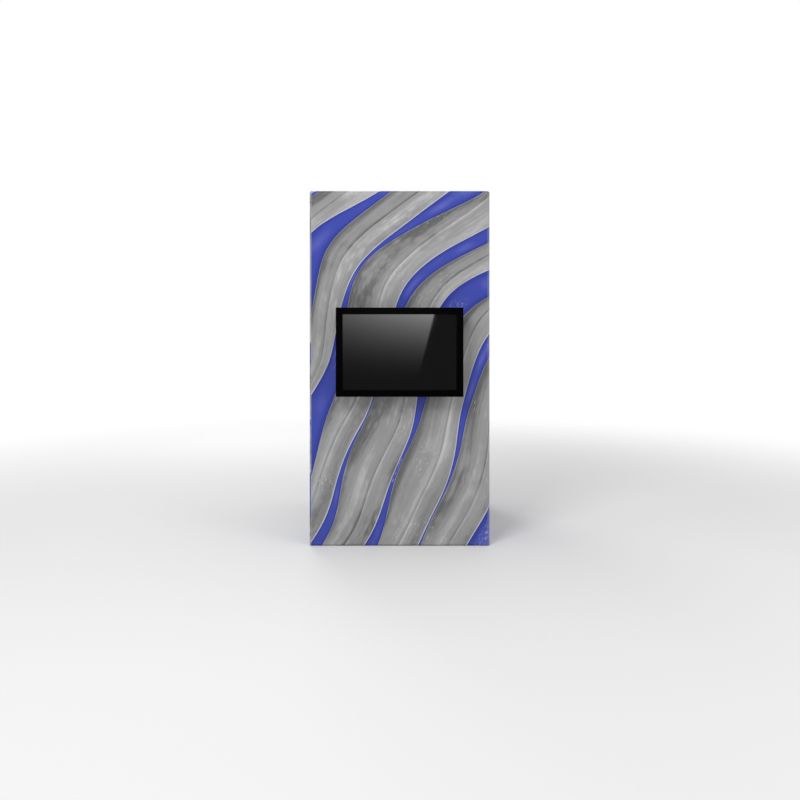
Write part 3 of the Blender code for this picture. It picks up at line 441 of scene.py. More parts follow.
    # The ribbon: deeper at its edges, a soft sheen along its middle, and glossy marks
    inside = maths(tree, "DIVIDE", away, maths(tree, "MAXIMUM", half, look["leastHalf"]))
    ribbon = mixColour(tree, between(tree, inside, *look["deepFrom"]), look["ribbonMid"], look["ribbonDeep"])
    sheen = times(tree, between(tree, inside, *look["sheenFade"]), area("sheenArea", place))
    sheen = times(tree, sheen, between(tree, fineStreaks, *look["sheenWear"]))
    ribbon = mixColour(tree, sheen, ribbon, look["ribbonSheen"])
    gloss = times(tree, between(tree, flecks, *look["glossFade"]), area("glossArea", shifted))
    gloss = times(tree, gloss, between(tree, inside, *look["glossInside"]))
    ribbon = mixColour(tree, gloss, ribbon, look["ribbonGlint"])
    feed(
        tree, shader,
        Base_Color=mixColour(tree, ribbonMask, ground, ribbon),
        Normal=bump(tree, knitHeight(tree, place), knitLook["relief"], knitLook["strength"]),
    )
    return finish


printedFabric = makePrintFinish()
print("print ready")


# The sleeve's panels

sleeveLook = {
    "thickness": 0.0008,
    "cornerSteps": 8,
    "edgeSteps": 3,  # on the short arcs that end at a seam
    "lidSteps": 6,
    "step": 0.012,
    "rowStep": 0.014,
    "seamGap": 0.00015,
    "zipGap": 0.0003,
    "ripple": 0.0007,
    "rippleWaves": ((5.1, 1.7, 0.6), (-4.2, 3.3, 2.0)),  # radians per metre along and up, start
    "dragSize": 0.00045,
    "dragReach": 0.44,
    "dragFolds": (19, 1.3),  # number in a full turn, start
    "tubeReach": 0.02,  # the tubes carry the cloth this far past the corner's centre
    "hemReach": 0.06,
    "lidReach": 0.03,
    "barReach": 0.022,
    "fadeIn": 0.05,
    "punch": (0.006, 0.01),  # radius, length
    "lidPrint": (-0.0106, -0.009),  # sets the lid's print on from the front panel's
}
px, fy, ry = tower["postX"], tower["postFrontY"], tower["postRearY"]
zipX = middleOf("zip_chain", 0)
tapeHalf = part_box("zip_chain")[1][0] - zipX
seam = tower["seamAngle"]


def cornerPoint(centreX, centreY, angle):
    radius = tower["cornerRadius"]
    return centreX + radius * math.cos(angle), centreY + radius * math.sin(angle)


def cornerArc(centreX, centreY, start, end, steps):
    return [cornerPoint(centreX, centreY, angle) for angle in np.linspace(start, end, steps + 1)]


def spread(first, last, step):
    count = max(2, int(round(math.dist(first, last) / step)))
    shares = np.linspace(0, 1, count + 1)[1:-1]
    return [tuple(np.array(first) * (1 - t) + np.array(last) * t) for t in shares]


def joinPath(pieces, step):
    # Arcs and end points joined by straight runs of even steps
    path = list(pieces[0])
    for piece in pieces[1:]:
        path += spread(path[-1], piece[0], step)
        path += piece
    return path


def rippleAt(u, v, freeU, freeV):
    # Slight unevenness of stretched cloth, inwards, none where a tube carries it
    look = sleeveLook
    swing = sum(math.sin(rateU * u + rateV * v + start) for rateU, rateV, start in look["rippleWaves"])
    soft = 0.5 + 0.25 * swing
    drag = 0.0
    reach = math.hypot(freeU, freeV)
    if reach < look["dragReach"]:
        folds, start = look["dragFolds"]
        fade = (1 - reach / look["dragReach"]) ** 2
        drag = look["dragSize"] * fade * (0.5 + 0.5 * math.sin(math.atan2(freeV, freeU) * folds + start))
    hold = min(1.0, min(freeU, freeV) / look["fadeIn"])
    return hold * hold * (3 - 2 * hold) * (look["ripple"] * soft + drag)


def clothSheet(name, points, uvs):
    # A face for each cell of a grid of points, its wall turned inwards
    bm = bmesh.new()
    layer = bm.loops.layers.uv.new("print")
    grid = [[bm.verts.new(point) for point in column] for column in points]
    for i in range(len(points) - 1):
        for j in range(len(points[0]) - 1):
            corners = ((i, j), (i + 1, j), (i + 1, j + 1), (i, j + 1))
            face = bm.faces.new([grid[a][b] for a, b in corners])
            for loop, (a, b) in zip(face.loops, corners):
                loop[layer].uv = uvs[a][b]
    obj = meshFrom(name, bm, printedFabric, outward=False)
    wall = obj.modifiers.new("wall", "SOLIDIFY")
    wall.thickness = sleeveLook["thickness"]
    wall.offset = -1
    return obj


def makePanel(name, pieces, startU, bars=False):
    # One upright panel along a plan path, with its flat width and height
    look = sleeveLook
    path = joinPath(pieces, look["step"])
    lengths = np.concatenate([[0.0], np.cumsum([math.dist(a, b) for a, b in zip(path, path[1:])])])
    lowZ, highZ = tower["hemHeight"], tower["lidZ"]
    rows = int(round((highZ - lowZ) / look["rowStep"]))
    heights = np.linspace(lowZ, highZ, rows + 1)
    points, uvs = [], []
    for index, (x, y) in enumerate(path):
        along = tangentAt(path, index)
        inwards = Vector((-along.y, along.x))
        freeX = max(0.0, px - look["tubeReach"] - abs(x))
        freeY = max(0.0, min(y - fy, ry - y) - look["tubeReach"])
        free = freeX if abs(along.x) > 0.9 else (freeY if abs(along.y) > 0.9 else 0.0)
        u = startU + lengths[index]
        column = []
        for z in heights:
            freeZ = max(0.0, min(z - look["hemReach"], highZ - look["lidReach"] - z))
            if bars:
                freeZ = min(freeZ, *(max(0.0, abs(z - barZ) - look["barReach"]) for barZ in tower["studZ"]))
            shift = rippleAt(u, z, free, freeZ) if free and freeZ else 0.0
            column.append((x + inwards.x * shift, y + inwards.y * shift, z))
        points.append(column)
        uvs.append([(u, z) for z in heights])
    return clothSheet(name, points, uvs), lengths[-1], highZ - lowZ


gapAngle = sleeveLook["seamGap"] / tower["cornerRadius"]
cornerSteps, edgeSteps = sleeveLook["cornerSteps"], sleeveLook["edgeSteps"]
zipEdge = tapeHalf + sleeveLook["zipGap"]
panelPaths = {
    "front": [
        cornerArc(-px, fy, math.pi + seam + gapAngle, 3 * quarter, edgeSteps),
        cornerArc(px, fy, 3 * quarter, math.tau - seam - gapAngle, edgeSteps),
    ],
    "right": [
        cornerArc(px, fy, -seam + gapAngle, 0, cornerSteps),
        cornerArc(px, ry, 0, quarter, cornerSteps),
        [(zipX + zipEdge, tower["rearY"])],
    ],
    "rear": [
        [(zipX - zipEdge, tower["rearY"])],
        cornerArc(-px, ry, quarter, math.pi - seam - gapAngle, edgeSteps),
    ],
    "left": [
        cornerArc(-px, ry, math.pi - seam + gapAngle, math.pi, edgeSteps),
        cornerArc(-px, fy, math.pi, math.pi + seam - gapAngle, cornerSteps),
    ],
}
sleevePanels = {}
startU = 0.0
for side in ("front", "right", "rear", "left"):
    panel, width, height = makePanel("sleeve_panel_" + side, panelPaths[side], startU, bars=side == "front")
    startU += width + (2 * tapeHalf if side == "right" else 0.0)
    sleevePanels[side] = panel

# Holes in the front panel for the four studs
studs = [(x, z) for x in (-tower["studX"], tower["studX"]) for z in tower["studZ"]]
radius, length = sleeveLook["punch"]
bm = bmesh.new()
for x, z in studs:
    place = Matrix.Translation((x, tower["frontY"], z)) @ Matrix.Rotation(quarter, 4, "X")
    bmesh.ops.create_cone(
        bm, cap_ends=True, segments=32, radius1=radius, radius2=radius, depth=length, matrix=place
    )
punch = meshFrom("eyelet_punch", bm, smooth=False, outward=False)
cut = sleevePanels["front"].modifiers.new("holes", "BOOLEAN")
cut.operation = "DIFFERENCE"
cut.solver = "EXACT"
cut.object = punch
for panel in sleevePanels.values():
    freeze(panel)
bpy.data.objects.remove(punch, do_unlink=True)
for side, panel in sleevePanels.items():
    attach(panel, "frame")
    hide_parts("sleeve_" + side)


# The lid: a flat top that turns down over the rails

def makeLid():
    look = sleeveLook
    radius = tower["cornerRadius"]
    halfX = tower["halfWidth"]
    halfY = (tower["rearY"] - tower["frontY"]) / 2
    midY = (tower["rearY"] + tower["frontY"]) / 2
    flatX, flatY = halfX - radius, halfY - radius
    printX = halfX + look["lidPrint"][0]
    printY = halfY + tower["height"] + look["lidPrint"][1]
    turnEnd = math.acos(min(1.0, max(-1.0, (tower["lidZ"] - (tower["height"] - radius)) / radius)))
    angles = np.linspace(0, turnEnd, look["lidSteps"] + 1)
    # Offsets from the flat edge: how far out, how far down, how far along the cloth
    bends = [(radius * math.sin(a), radius * (1 - math.cos(a)), radius * a) for a in angles]

    def axisPoints(flat):
        # Flat place, then out, down and along past its edge
        count = int(round(2 * flat / look["step"]))
        inner = [(x, 0.0, 0.0, 0.0) for x in np.linspace(-flat, flat, count + 1)]
        left = [(-flat, -out, down, -run) for out, down, run in reversed(bends[1:])]
        right = [(flat, out, down, run) for out, down, run in bends[1:]]
        return left + inner + right

    points, uvs = [], []
    for x, outX, downX, runX in axisPoints(flatX):
        column, columnUvs = [], []
        for y, outY, downY, runY in axisPoints(flatY):
            if outX and outY:
                # A rounded corner: keep the larger bend and share its reach between both sides
                angle = math.atan2(abs(outY), abs(outX))
                out = max(abs(outX), abs(outY))
                pointX = x + math.copysign(out * math.cos(angle), outX)
                pointY = y + math.copysign(out * math.sin(angle), outY)
                z = tower["height"] - max(downX, downY)
            else:
                pointX, pointY, z = x + outX, y + outY, tower["height"] - downX - downY
            free = min(flatX - abs(x), flatY - abs(y)) - look["tubeReach"]
            if free > 0:
                z -= rippleAt(x, y, free, free)
            column.append((pointX, pointY + midY, z))
            columnUvs.append((x + runX + printX, y + runY + printY))
        points.append(column)
        uvs.append(columnUvs)
    flat = (2 * (flatX + bends[-1][2]), 2 * (flatY + bends[-1][2]))
    return freeze(clothSheet("sleeve_panel_top", points, uvs)), flat


lid, lidFlat = makeLid()
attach(lid, "frame")
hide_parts("sleeve_top")
print("lid:", [round(x, 4) for x in lidFlat])


# Finishes for the frame, the mount and the screen

def grain(tree, shader, scale, distance, strength=0.4):
    # Fine relief on the shader's normal
    height = noise(tree, objectPlace(tree, (scale, scale, scale)), 1.0, 3.0, 0.6)
    feed(tree, shader, Normal=bump(tree, height, distance, strength))
    return height


def toned(colour, share, step=0.0):
    return tuple(min(1.0, x * share + step) for x in colour)


aluminiumLook = {
    "colour": (0.64, 0.65, 0.67),
    "dark": (0.50, 0.51, 0.53),
    "lines": 900.0,
    "lineShade": 0.45,
    "marks": 14.0,
    "markFade": (0.35, 0.75),
    "smoothest": 0.26,  # roughness without lines and marks, and what each adds
    "lineRoughness": 0.10,
    "markRoughness": 0.14,
    "relief": 0.00003,
}


def makeDrawnAluminium(name, stretch):
    # Extruded tube: long die lines and light handling marks
    look = aluminiumLook
    finish, tree, shader = newFinish(name, look["colour"], look["smoothest"], 1.0)
    lines = noise(tree, objectPlace(tree, tuple(look["lines"] * share for share in stretch)), 1.0, 3.0, 0.6)
    marks = between(tree, noise(tree, objectPlace(tree), look["marks"], 4.0, 0.6), *look["markFade"])
    rough = scaled(tree, marks, look["markRoughness"], look["smoothest"])
    feed(
        tree, shader,
        Base_Color=mixColour(tree, times(tree, lines, look["lineShade"]), look["colour"], look["dark"]),
        Roughness=scaled(tree, lines, look["lineRoughness"], rough),
        Normal=bump(tree, lines, look["relief"], 0.5),
    )
    return finish


mouldedLook = {"clouds": 22.0, "light": (1.25, 0.002), "roughnessSwing": 0.14, "strength": 0.5}


def makeMoulded(name, colour, roughness, scale=900.0, depth=0.00004):
    # Moulded plastic with a fine spark texture
    look = mouldedLook
    finish, tree, shader = newFinish(name, colour, roughness)
    tone = noise(tree, objectPlace(tree), look["clouds"], 3.0)
    fine = grain(tree, shader, scale, depth, look["strength"])
    swing = look["roughnessSwing"]
    feed(
        tree, shader,
        Base_Color=mixColour(tree, tone, colour, toned(colour, *look["light"])),
        Roughness=scaled(tree, fine, swing, roughness - swing / 2),
    )
    return finish


platedLook = {
    "haze": 70.0,
    "hazeShade": 0.80,
    "hazeRoughness": 0.16,
    "leastRoughness": -0.06,  # below the finish's own
    "hairlines": (160.0, 160.0, 2600.0),
    "relief": 0.00001,
    "strength": 0.35,
}


def makePlated(name, colour, roughness=0.24):
    # Bright zinc or nickel plate with faint haze and hairlines
    look = platedLook
    finish, tree, shader = newFinish(name, colour, roughness, 1.0)
    haze = noise(tree, objectPlace(tree), look["haze"], 4.0, 0.6)
    hairlines = noise(tree, objectPlace(tree, look["hairlines"]), 1.0, 2.0)
    feed(
        tree, shader,
        Base_Color=mixColour(tree, haze, colour, toned(colour, look["hazeShade"])),
        Roughness=scaled(tree, haze, look["hazeRoughness"], roughness + look["leastRoughness"]),
        Normal=bump(tree, hairlines, look["relief"], look["strength"]),
    )
    return finish


coatLook = {
    "peel": 420.0,
    "peelRelief": 0.00006,
    "peelStrength": 0.6,
    "coat": (0.15, 0.35),  # weight, roughness
    "roughness": (0.12, 0.36),  # swing, least
    "flecks": 1500.0,
    "fleckFade": (0.62, 0.75),
    "fleckLight": 0.035,
}


def makePowderCoat(name, colour):
    # Satin powder coat: orange-peel relief and tiny flecks
    look = coatLook
    coat, gloss = look["coat"]
    rough = look["roughness"][1]
    finish, tree, shader = newFinish(name, colour, rough, Coat_Weight=coat, Coat_Roughness=gloss)
    peel = noise(tree, objectPlace(tree), look["peel"], 2.0)
    fleck = between(tree, noise(tree, objectPlace(tree), look["flecks"], 1.0), *look["fleckFade"])
    feed(
        tree, shader,
        Base_Color=mixColour(tree, fleck, colour, toned(colour, 1.0, look["fleckLight"])),
        Roughness=scaled(tree, peel, *look["roughness"]),
        Normal=bump(tree, peel, look["peelRelief"], look["peelStrength"]),
    )
    return finish


glassLook = {
    "panel": (0.0074, 0.0074, 0.0077),
    "cloudy": (0.0088, 0.0088, 0.0090),
    "clouds": 9.0,
    "wipeMarks": (3.0, 1.0, 30.0),
    "roughness": (0.02, 0.02),  # swing, least
}


def makeGlass(name):
    # Cover glass over a dark panel, with the faintest cloudiness
    look = glassLook
    finish, tree, shader = newFinish(name, look["panel"], look["roughness"][1])
    cloud = noise(tree, objectPlace(tree), look["clouds"], 2.0)
    wipe = noise(tree, objectPlace(tree, look["wipeMarks"]), 1.0, 3.0)
    feed(
        tree, shader,
        Base_Color=mixColour(tree, cloud, look["panel"], look["cloudy"]),
        Roughness=scaled(tree, wipe, *look["roughness"]),
    )
    return finish


bezelLook = {
    "black": (0.0008, 0.0008, 0.0009),
    "cloudy": (0.0014, 0.0014, 0.0015),
    "clouds": 6.0,
    "grain": (1400.0, 0.00001, 0.25),
    "roughness": (0.08, 0.20),  # swing, least
    "mirror": 0.05,
}


def makeBezelBlack(name):
    # Satin black moulding that hardly mirrors
    look = bezelLook
    rough = look["roughness"][1]
    finish, tree, shader = newFinish(name, look["black"], rough, Specular_IOR_Level=look["mirror"])
    fine = grain(tree, shader, *look["grain"])
    cloud = noise(tree, objectPlace(tree), look["clouds"], 2.0)
    feed(
        tree, shader,
        Base_Color=mixColour(tree, cloud, look["black"], look["cloudy"]),
        Roughness=scaled(tree, fine, *look["roughness"]),
    )
    return finish


def withinBox(tree, axis, middle, half, soft=0.0002):
    # 1 where a coordinate lies within half of a middle
    away = maths(tree, "ABSOLUTE", maths(tree, "SUBTRACT", splitPlace(tree, rawPlace(tree))[axis], middle))
    return between(tree, away, half - soft, half + soft, 1.0, 0.0)


boardLook = {
    "mask": (0.012, 0.085, 0.038),
    "track": (0.030, 0.160, 0.070),
    "pad": (0.62, 0.47, 0.20),
    "block": ((0.016, 0.016, 0.018), (0.026, 0.026, 0.029)),
    "can": ((0.40, 0.40, 0.41), (0.50, 0.50, 0.51)),
    "mottle": 140.0,
    "roughness": 0.38,
    "maskDepth": 0.0017,
    "blend": 0.0003,
    "trackRates": ((0, 900.0), (2, 760.0)),  # axis, radians per metre
    "trackBend": (38.0, 12.0),
    "trackAreas": 30.0,
    "trackFade": (0.35, 0.55),
    "trackRelief": 0.00004,
    "pads": 210.0,
    "padFade": (0.22, 0.26, 1.0, 0.0),
    # Blocks under a bright metal can, as shares of the board: middle across, middle up, width, height
    "shieldShares": {
        "main_board": ((0.00, 0.10, 0.30, 0.32), (0.30, -0.10, 0.18, 0.18)),
        "power_board": ((0.26, 0.22, 0.26, 0.26),),
    },
    "shieldMargin": 0.001,
}


def makeBoardFinish(name, node):
    # Solder mask with tracks and pads; the components stand above it
    look = boardLook
    low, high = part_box(node)
    maskTop = low[1] + look["maskDepth"]
    finish, tree, shader = newFinish(name, look["mask"], look["roughness"])
    place = objectPlace(tree)
    split = splitPlace(tree, place)
    scale, bend = look["trackBend"]
    bend = times(tree, noise(tree, place, scale, 0.0), bend)
    rows = [maths(tree, "SINE", scaled(tree, split[axis], rate, bend)) for axis, rate in look["trackRates"]]
    choose = between(tree, noise(tree, place, look["trackAreas"], 0.0), 0.49, 0.51)
    tracks = addNode(tree, "ShaderNodeMix", {0: choose, 2: rows[0], 3: rows[1]}).outputs[0]
    tracks = between(tree, tracks, *look["trackFade"])
    pads = addNode(tree, "ShaderNodeTexVoronoi", {"Vector": place, "Scale": look["pads"]}, feature="F1")
    pads = between(tree, pads.outputs["Distance"], *look["padFade"])
    face = mixColour(tree, tracks, look["mask"], look["track"])
    face = mixColour(tree, pads, face, look["pad"])
    above = between(tree, split[1], maskTop, maskTop + look["blend"])
    width, height = high[0] - low[0], high[2] - low[2]
    shield = 0.0
    margin = look["shieldMargin"]
    for u, v, wide, tall in look["shieldShares"][node]:
        across = withinBox(tree, 0, middleOf(node, 0) + u * width, wide * width / 2 + margin)
        upright = withinBox(tree, 2, middleOf(node, 2) + v * height, tall * height / 2 + margin)
        shield = maths(tree, "MAXIMUM", times(tree, across, upright), shield)
    mottle = noise(tree, place, look["mottle"], 3.0)
    dark, bright = (mixColour(tree, mottle, *look[part]) for part in ("block", "can"))
    blocks = mixColour(tree, shield, dark, bright)
    feed(
        tree, shader,
        Base_Color=mixColour(tree, above, face, blocks),
        Normal=bump(tree, tracks, look["trackRelief"], 0.5),
    )
    return finish


socketLook = {
    "pinPitch": 0.007,
    "pinHalf": (0.0012, 0.0022),
    "pinRise": 0.002,  # the middle pin stands this far above, the others below
    "pinDepth": (0.0115, 0.0062),  # middle below the mouth, half length
    "black": ((0.009, 0.009, 0.010), (0.014, 0.014, 0.015)),
    "mottle": 60.0,
    "roughness": 0.42,
    "grain": (900.0, 0.00003),
    "pinMetal": (0.62, 0.62, 0.60),
}


def makeSocketFinish(name, node):
    # Black moulding; its three pins are bright
    look = socketLook
    finish, tree, shader = newFinish(name, look["black"][0], look["roughness"])
    pins = 0.0
    for index in (-1, 0, 1):
        rise = -look["pinRise"] if index else look["pinRise"]
        near = withinBox(tree, 0, middleOf(node, 0) + index * look["pinPitch"], look["pinHalf"][0])
        near = times(tree, near, withinBox(tree, 2, middleOf(node, 2) + rise, look["pinHalf"][1]))
        pins = maths(tree, "MAXIMUM", near, pins)
    below, half = look["pinDepth"]
    pins = times(tree, pins, withinBox(tree, 1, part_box(node)[1][1] - below, half))
    dark = mixColour(tree, noise(tree, objectPlace(tree), look["mottle"], 2.0), *look["black"])
    feed(tree, shader, Base_Color=mixColour(tree, pins, dark, look["pinMetal"]), Metallic=pins)
    grain(tree, shader, *look["grain"])
    return finish


portsLook = {
    "plateDepth": 0.0013,
    "blend": 0.0003,
    "plate": ((0.58, 0.59, 0.60), (0.44, 0.45, 0.46)),
    "shell": ((0.030, 0.030, 0.032), (0.055, 0.055, 0.058)),
    "shellMetal": 0.4,
    "roughness": 0.30,
    "haze": 90.0,
    "relief": 0.00002,
}


def makePortsFinish(name, node):
    # Plated plate with darker ports standing on it
    look = portsLook
    finish, tree, shader = newFinish(name, look["plate"][0], look["roughness"], 1.0)
    place = objectPlace(tree)
    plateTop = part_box(node)[0][1] + look["plateDepth"]
    raised = between(tree, splitPlace(tree, place)[1], plateTop, plateTop + look["blend"])
    haze = noise(tree, place, look["haze"], 4.0)
    plate, shell = (mixColour(tree, haze, *look[part]) for part in ("plate", "shell"))
    feed(
        tree, shader,
        Base_Color=mixColour(tree, raised, plate, shell),
        Metallic=maths(tree, "SUBTRACT", 1.0, times(tree, raised, 1.0 - look["shellMetal"])),
        Normal=bump(tree, haze, look["relief"], 0.4),
    )
    return finish


threadLook = {"twist": 2400.0, "shade": 0.7, "relief": 0.00005, "roughness": 0.7, "sheen": (0.3, 0.4)}


def makeThread(name, colour):
    # Spun sewing thread
    look = threadLook
    finish, tree, shader = sheenFinish(name, colour, look)
    twist = noise(tree, objectPlace(tree), look["twist"], 2.0)
    feed(
        tree, shader,
        Base_Color=mixColour(tree, twist, toned(colour, look["shade"]), colour),
        Normal=bump(tree, twist, look["relief"], 0.5),
    )
    return finish


weaveLook = {
    "zigzag": 0.0014,
    "ribs": 7000.0,  # radians per metre
    "light": (1.8, 0.004),
    "relief": 0.00008,
    "roughness": 0.75,
    "sheen": (0.2, 0.5),
}


def makeTapeFinish(name, colour):
    # Herringbone of a woven zip tape
    look = weaveLook
    finish, tree, shader = sheenFinish(name, colour, look)
    split = splitPlace(tree, objectPlace(tree))
    zigzag = maths(tree, "PINGPONG", split[0], look["zigzag"])
    rib = maths(tree, "SINE", times(tree, plus(tree, split[2], zigzag), look["ribs"]))
    feed(
        tree, shader,
        Base_Color=mixColour(tree, between(tree, rib, -1.0, 1.0), colour, toned(colour, *look["light"])),
        Normal=bump(tree, rib, look["relief"], 0.5),
    )
    return finish


def dress(finish, *nodes):
    # One finish on the CAD solids' own slots
    for node in nodes:
        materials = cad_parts[node].data.materials
        if not materials:
            materials.append(finish)
        for index in range(len(materials)):
            materials[index] = finish


cornerNames = ("front_left", "front_right", "rear_right", "rear_left")
sideNames = ("left", "right")
postAluminium = makeDrawnAluminium("drawn_aluminium_posts", (1.0, 1.0, 0.004))
barAluminium = makeDrawnAluminium("drawn_aluminium_bars", (0.004, 1.0, 1.0))
sideAluminium = makeDrawnAluminium("drawn_aluminium_sides", (1.0, 0.004, 1.0))
hubNylon = makeMoulded("hub_nylon", (0.020, 0.020, 0.021), 0.50)
nickelPlate = makePlated("nickel_plate", (0.66, 0.64, 0.60))
zincPlate = makePlated("zinc_plate", (0.60, 0.62, 0.65), 0.30)
powderCoat = makePowderCoat("black_powder_coat", (0.021, 0.021, 0.022))
knobPlastic = makeMoulded("knob_plastic", (0.012, 0.012, 0.013), 0.40, 700.0, 0.00006)
keyPlastic = makeMoulded("key_plastic", (0.020, 0.020, 0.021), 0.36, 1100.0, 0.00002)
coverPlastic = makeMoulded("rear_cover_plastic", (0.011, 0.011, 0.012), 0.52, 620.0, 0.00009)
moduleSheet = makePlated("module_sheet", (0.56, 0.57, 0.58), 0.34)

for corner in cornerNames:
    dress(hubNylon, "hub_bottom_" + corner, "hub_top_" + corner)
    dress(postAluminium, "post_lower_" + corner, "post_upper_" + corner)
    dress(nickelPlate, "snap_button_" + corner)
for level in ("bottom", "top"):
    dress(barAluminium, "rail_%s_front" % level, "rail_%s_rear" % level)
    dress(sideAluminium, "rail_%s_left" % level, "rail_%s_right" % level)
for side in sideNames:
    dress(powderCoat, "hook_bracket_" + side, "tilt_arm_" + side)
    dress(knobPlastic, "tilt_knob_" + side)
    dress(zincPlate, "safety_latch_" + side)
dress(powderCoat, "wall_plate")
dress(barAluminium, "crossbar_upper", "crossbar_lower")
dress(nickelPlate, "zip_slider", "zip_pull")
dress(makeBezelBlack("bezel_black"), "monitor_bezel")
dress(makeGlass("screen_glass"), "monitor_screen")
dress(coverPlastic, "monitor_back_cover")
dress(moduleSheet, "display_module")
dress(keyPlastic, "key_power", "key_input", "key_plus", "key_minus")
dress(makeBoardFinish("main_board_mask", "main_board"), "main_board")
dress(makeBoardFinish("power_board_mask", "power_board"), "power_board")
dress(makePortsFinish("connector_plate", "connector_panel"), "connector_panel")
dress(makeSocketFinish("inlet_moulding", "power_inlet"), "power_inlet")
print("finishes on the solids")


# Visible hard parts: a merged copy of each solid with its edges eased and its curves smoothed

easedLook = {
    "frame": {"wall_plate": 0.00035},
    "carriage": {"hook_bracket_left": 0.00035, "hook_bracket_right": 0.00035},
    "latch_left": {"safety_latch_left": 0.0003},
    "latch_right": {"safety_latch_right": 0.0003},
    "knob_left": {"tilt_knob_left": 0.0005},
    "knob_right": {"tilt_knob_right": 0.0005},
    "zip_slider": {"zip_slider": 0.0002},
    "zip_pull": {"zip_pull": 0.0002},
    "screen": {
        "tilt_arm_left": 0.00035,
        "tilt_arm_right": 0.00035,
        "monitor_bezel": 0.0003,
        "monitor_back_cover": 0.0004,
        "connector_panel": 0.0001,
        "power_inlet": 0.0002,
    },
}
for key in ("key_power", "key_input", "key_plus", "key_minus"):
    easedLook[key] = {key: 0.0002}
for corner in cornerNames:
    for level in ("bottom", "top"):
        easedLook["frame"]["hub_%s_%s" % (level, corner)] = 0.0005
    for level in ("lower", "upper"):
        easedLook["frame"]["post_%s_%s" % (level, corner)] = 0.0003
    easedLook["snap_" + corner] = {"snap_button_" + corner: 0.0002}
for side in ("front", "rear", "left", "right"):
    for level in ("bottom", "top"):
        easedLook["frame"]["rail_%s_%s" % (level, side)] = 0.0003
for node in ("crossbar_upper", "crossbar_lower"):
    easedLook["frame"][node] = 0.0003
for node in ("display_module", "main_board", "power_board"):
    easedLook["screen"][node] = 0.0003
longEdgesOnly = {"monitor_back_cover": 0.025}  # its vents stay crisp
easing = {
    "merge": 0.00001,
    "flat": math.radians(0.6),  # faces closer than this are one
    "soft": math.radians(32),  # edges sharper than this are eased
    "sharp": 50,  # degrees
    "sliver": 0.000005,
}


def easedCopy(node, body, width):
    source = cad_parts[node]
    bm = bmesh.new()
    bm.from_mesh(source.data)
    bmesh.ops.remove_doubles(bm, verts=bm.verts, dist=easing["merge"])
    bmesh.ops.dissolve_limit(bm, angle_limit=easing["flat"], verts=bm.verts, edges=bm.edges)
    shortest = longEdgesOnly.get(node, 2.5 * width)
    edges = [
        edge for edge in bm.edges
        if edge.is_manifold and edge.calc_face_angle() > easing["soft"] and edge.calc_length() > shortest
    ]
    bmesh.ops.bevel(bm, geom=edges, offset=width, segments=2, profile=0.5, affect="EDGES", clamp_overlap=True)
    bmesh.ops.remove_doubles(bm, verts=bm.verts, dist=easing["sliver"])
    bmesh.ops.dissolve_degenerate(bm, edges=bm.edges, dist=easing["sliver"])
    obj = meshFrom(node + "_eased", bm, source.data.materials[0], sharp=easing["sharp"], outward=False)
    even = obj.modifiers.new("even_normals", "WEIGHTED_NORMAL")  # keeps flat faces flat beside eased edges
    even.mode = "FACE_AREA"
    even.weight = 100
    even.keep_sharp = True
    freeze(obj)
    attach(obj, body)
    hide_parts(node)
    return obj


for bodyName, nodes in easedLook.items():
    for node, width in nodes.items():
        eased = easedCopy(node, bodyName, width)
print("eased copies ready")


# Geometry Nodes: one piece repeated along a path or on points

def makeRepeatTree(name, alongPath):
    tree = bpy.data.node_groups.new(name, "GeometryNodeTree")
    face = tree.interface
    kinds = {
        "Geometry": "Geometry",
        "Piece": "Object",
        "Pitch": "Float",
        "Wander": "Float",
        "Seed": "Int",
        "Finish": "Material",
    }
    for label, kind in kinds.items():
        face.new_socket(label, in_out="INPUT", socket_type="NodeSocket" + kind)
    face.new_socket("Geometry", in_out="OUTPUT", socket_type="NodeSocketGeometry")
    source = addNode(tree, "NodeGroupInput").outputs
    piece = addNode(tree, "GeometryNodeObjectInfo", {"Object": source["Piece"]}).outputs["Geometry"]
    if alongPath:
        curve = addNode(tree, "GeometryNodeMeshToCurve", {0: source["Geometry"]}).outputs[0]
        steps = {"Curve": curve, "Length": source["Pitch"]}
        points = addNode(tree, "GeometryNodeCurveToPoints", steps, mode="LENGTH").outputs
        spots, facing, axis = points["Points"], points["Tangent"], "X"
    else:
        named = addNode(tree, "GeometryNodeInputNamedAttribute", {"Name": "facing"}, data_type="FLOAT_VECTOR")
        spots, facing, axis = source["Geometry"], named.outputs["Attribute"], "Z"
    turn = addNode(tree, "FunctionNodeAlignRotationToVector", {"Vector": facing}, axis=axis).outputs[0]
    limits = {"Min": times(tree, source["Wander"], -1.0), "Max": source["Wander"], "Seed": source["Seed"]}
    chance = addNode(tree, "FunctionNodeRandomValue", limits, data_type="FLOAT").outputs
    sway = next(socket for socket in chance if socket.enabled)
    sway = addNode(tree, "ShaderNodeCombineXYZ", {2: sway}).outputs[0]
    sway = addNode(tree, "FunctionNodeEulerToRotation", {0: sway}).outputs[0]
    turn = addNode(tree, "FunctionNodeRotateRotation", {0: turn, 1: sway}, rotation_space="LOCAL").outputs[0]
    placing = {"Points": spots, "Instance": piece, "Rotation": turn}
    placed = addNode(tree, "GeometryNodeInstanceOnPoints", placing).outputs[0]
    real = addNode(tree, "GeometryNodeRealizeInstances", {0: placed}).outputs[0]
    painted = {"Geometry": real, "Material": source["Finish"]}
    addNode(tree, "NodeGroupOutput", {0: addNode(tree, "GeometryNodeSetMaterial", painted).outputs[0]})
    return tree


alongTree = makeRepeatTree("repeat_along_path", True)
pointTree = makeRepeatTree("repeat_on_points", False)


repeatSharp = math.radians(38)


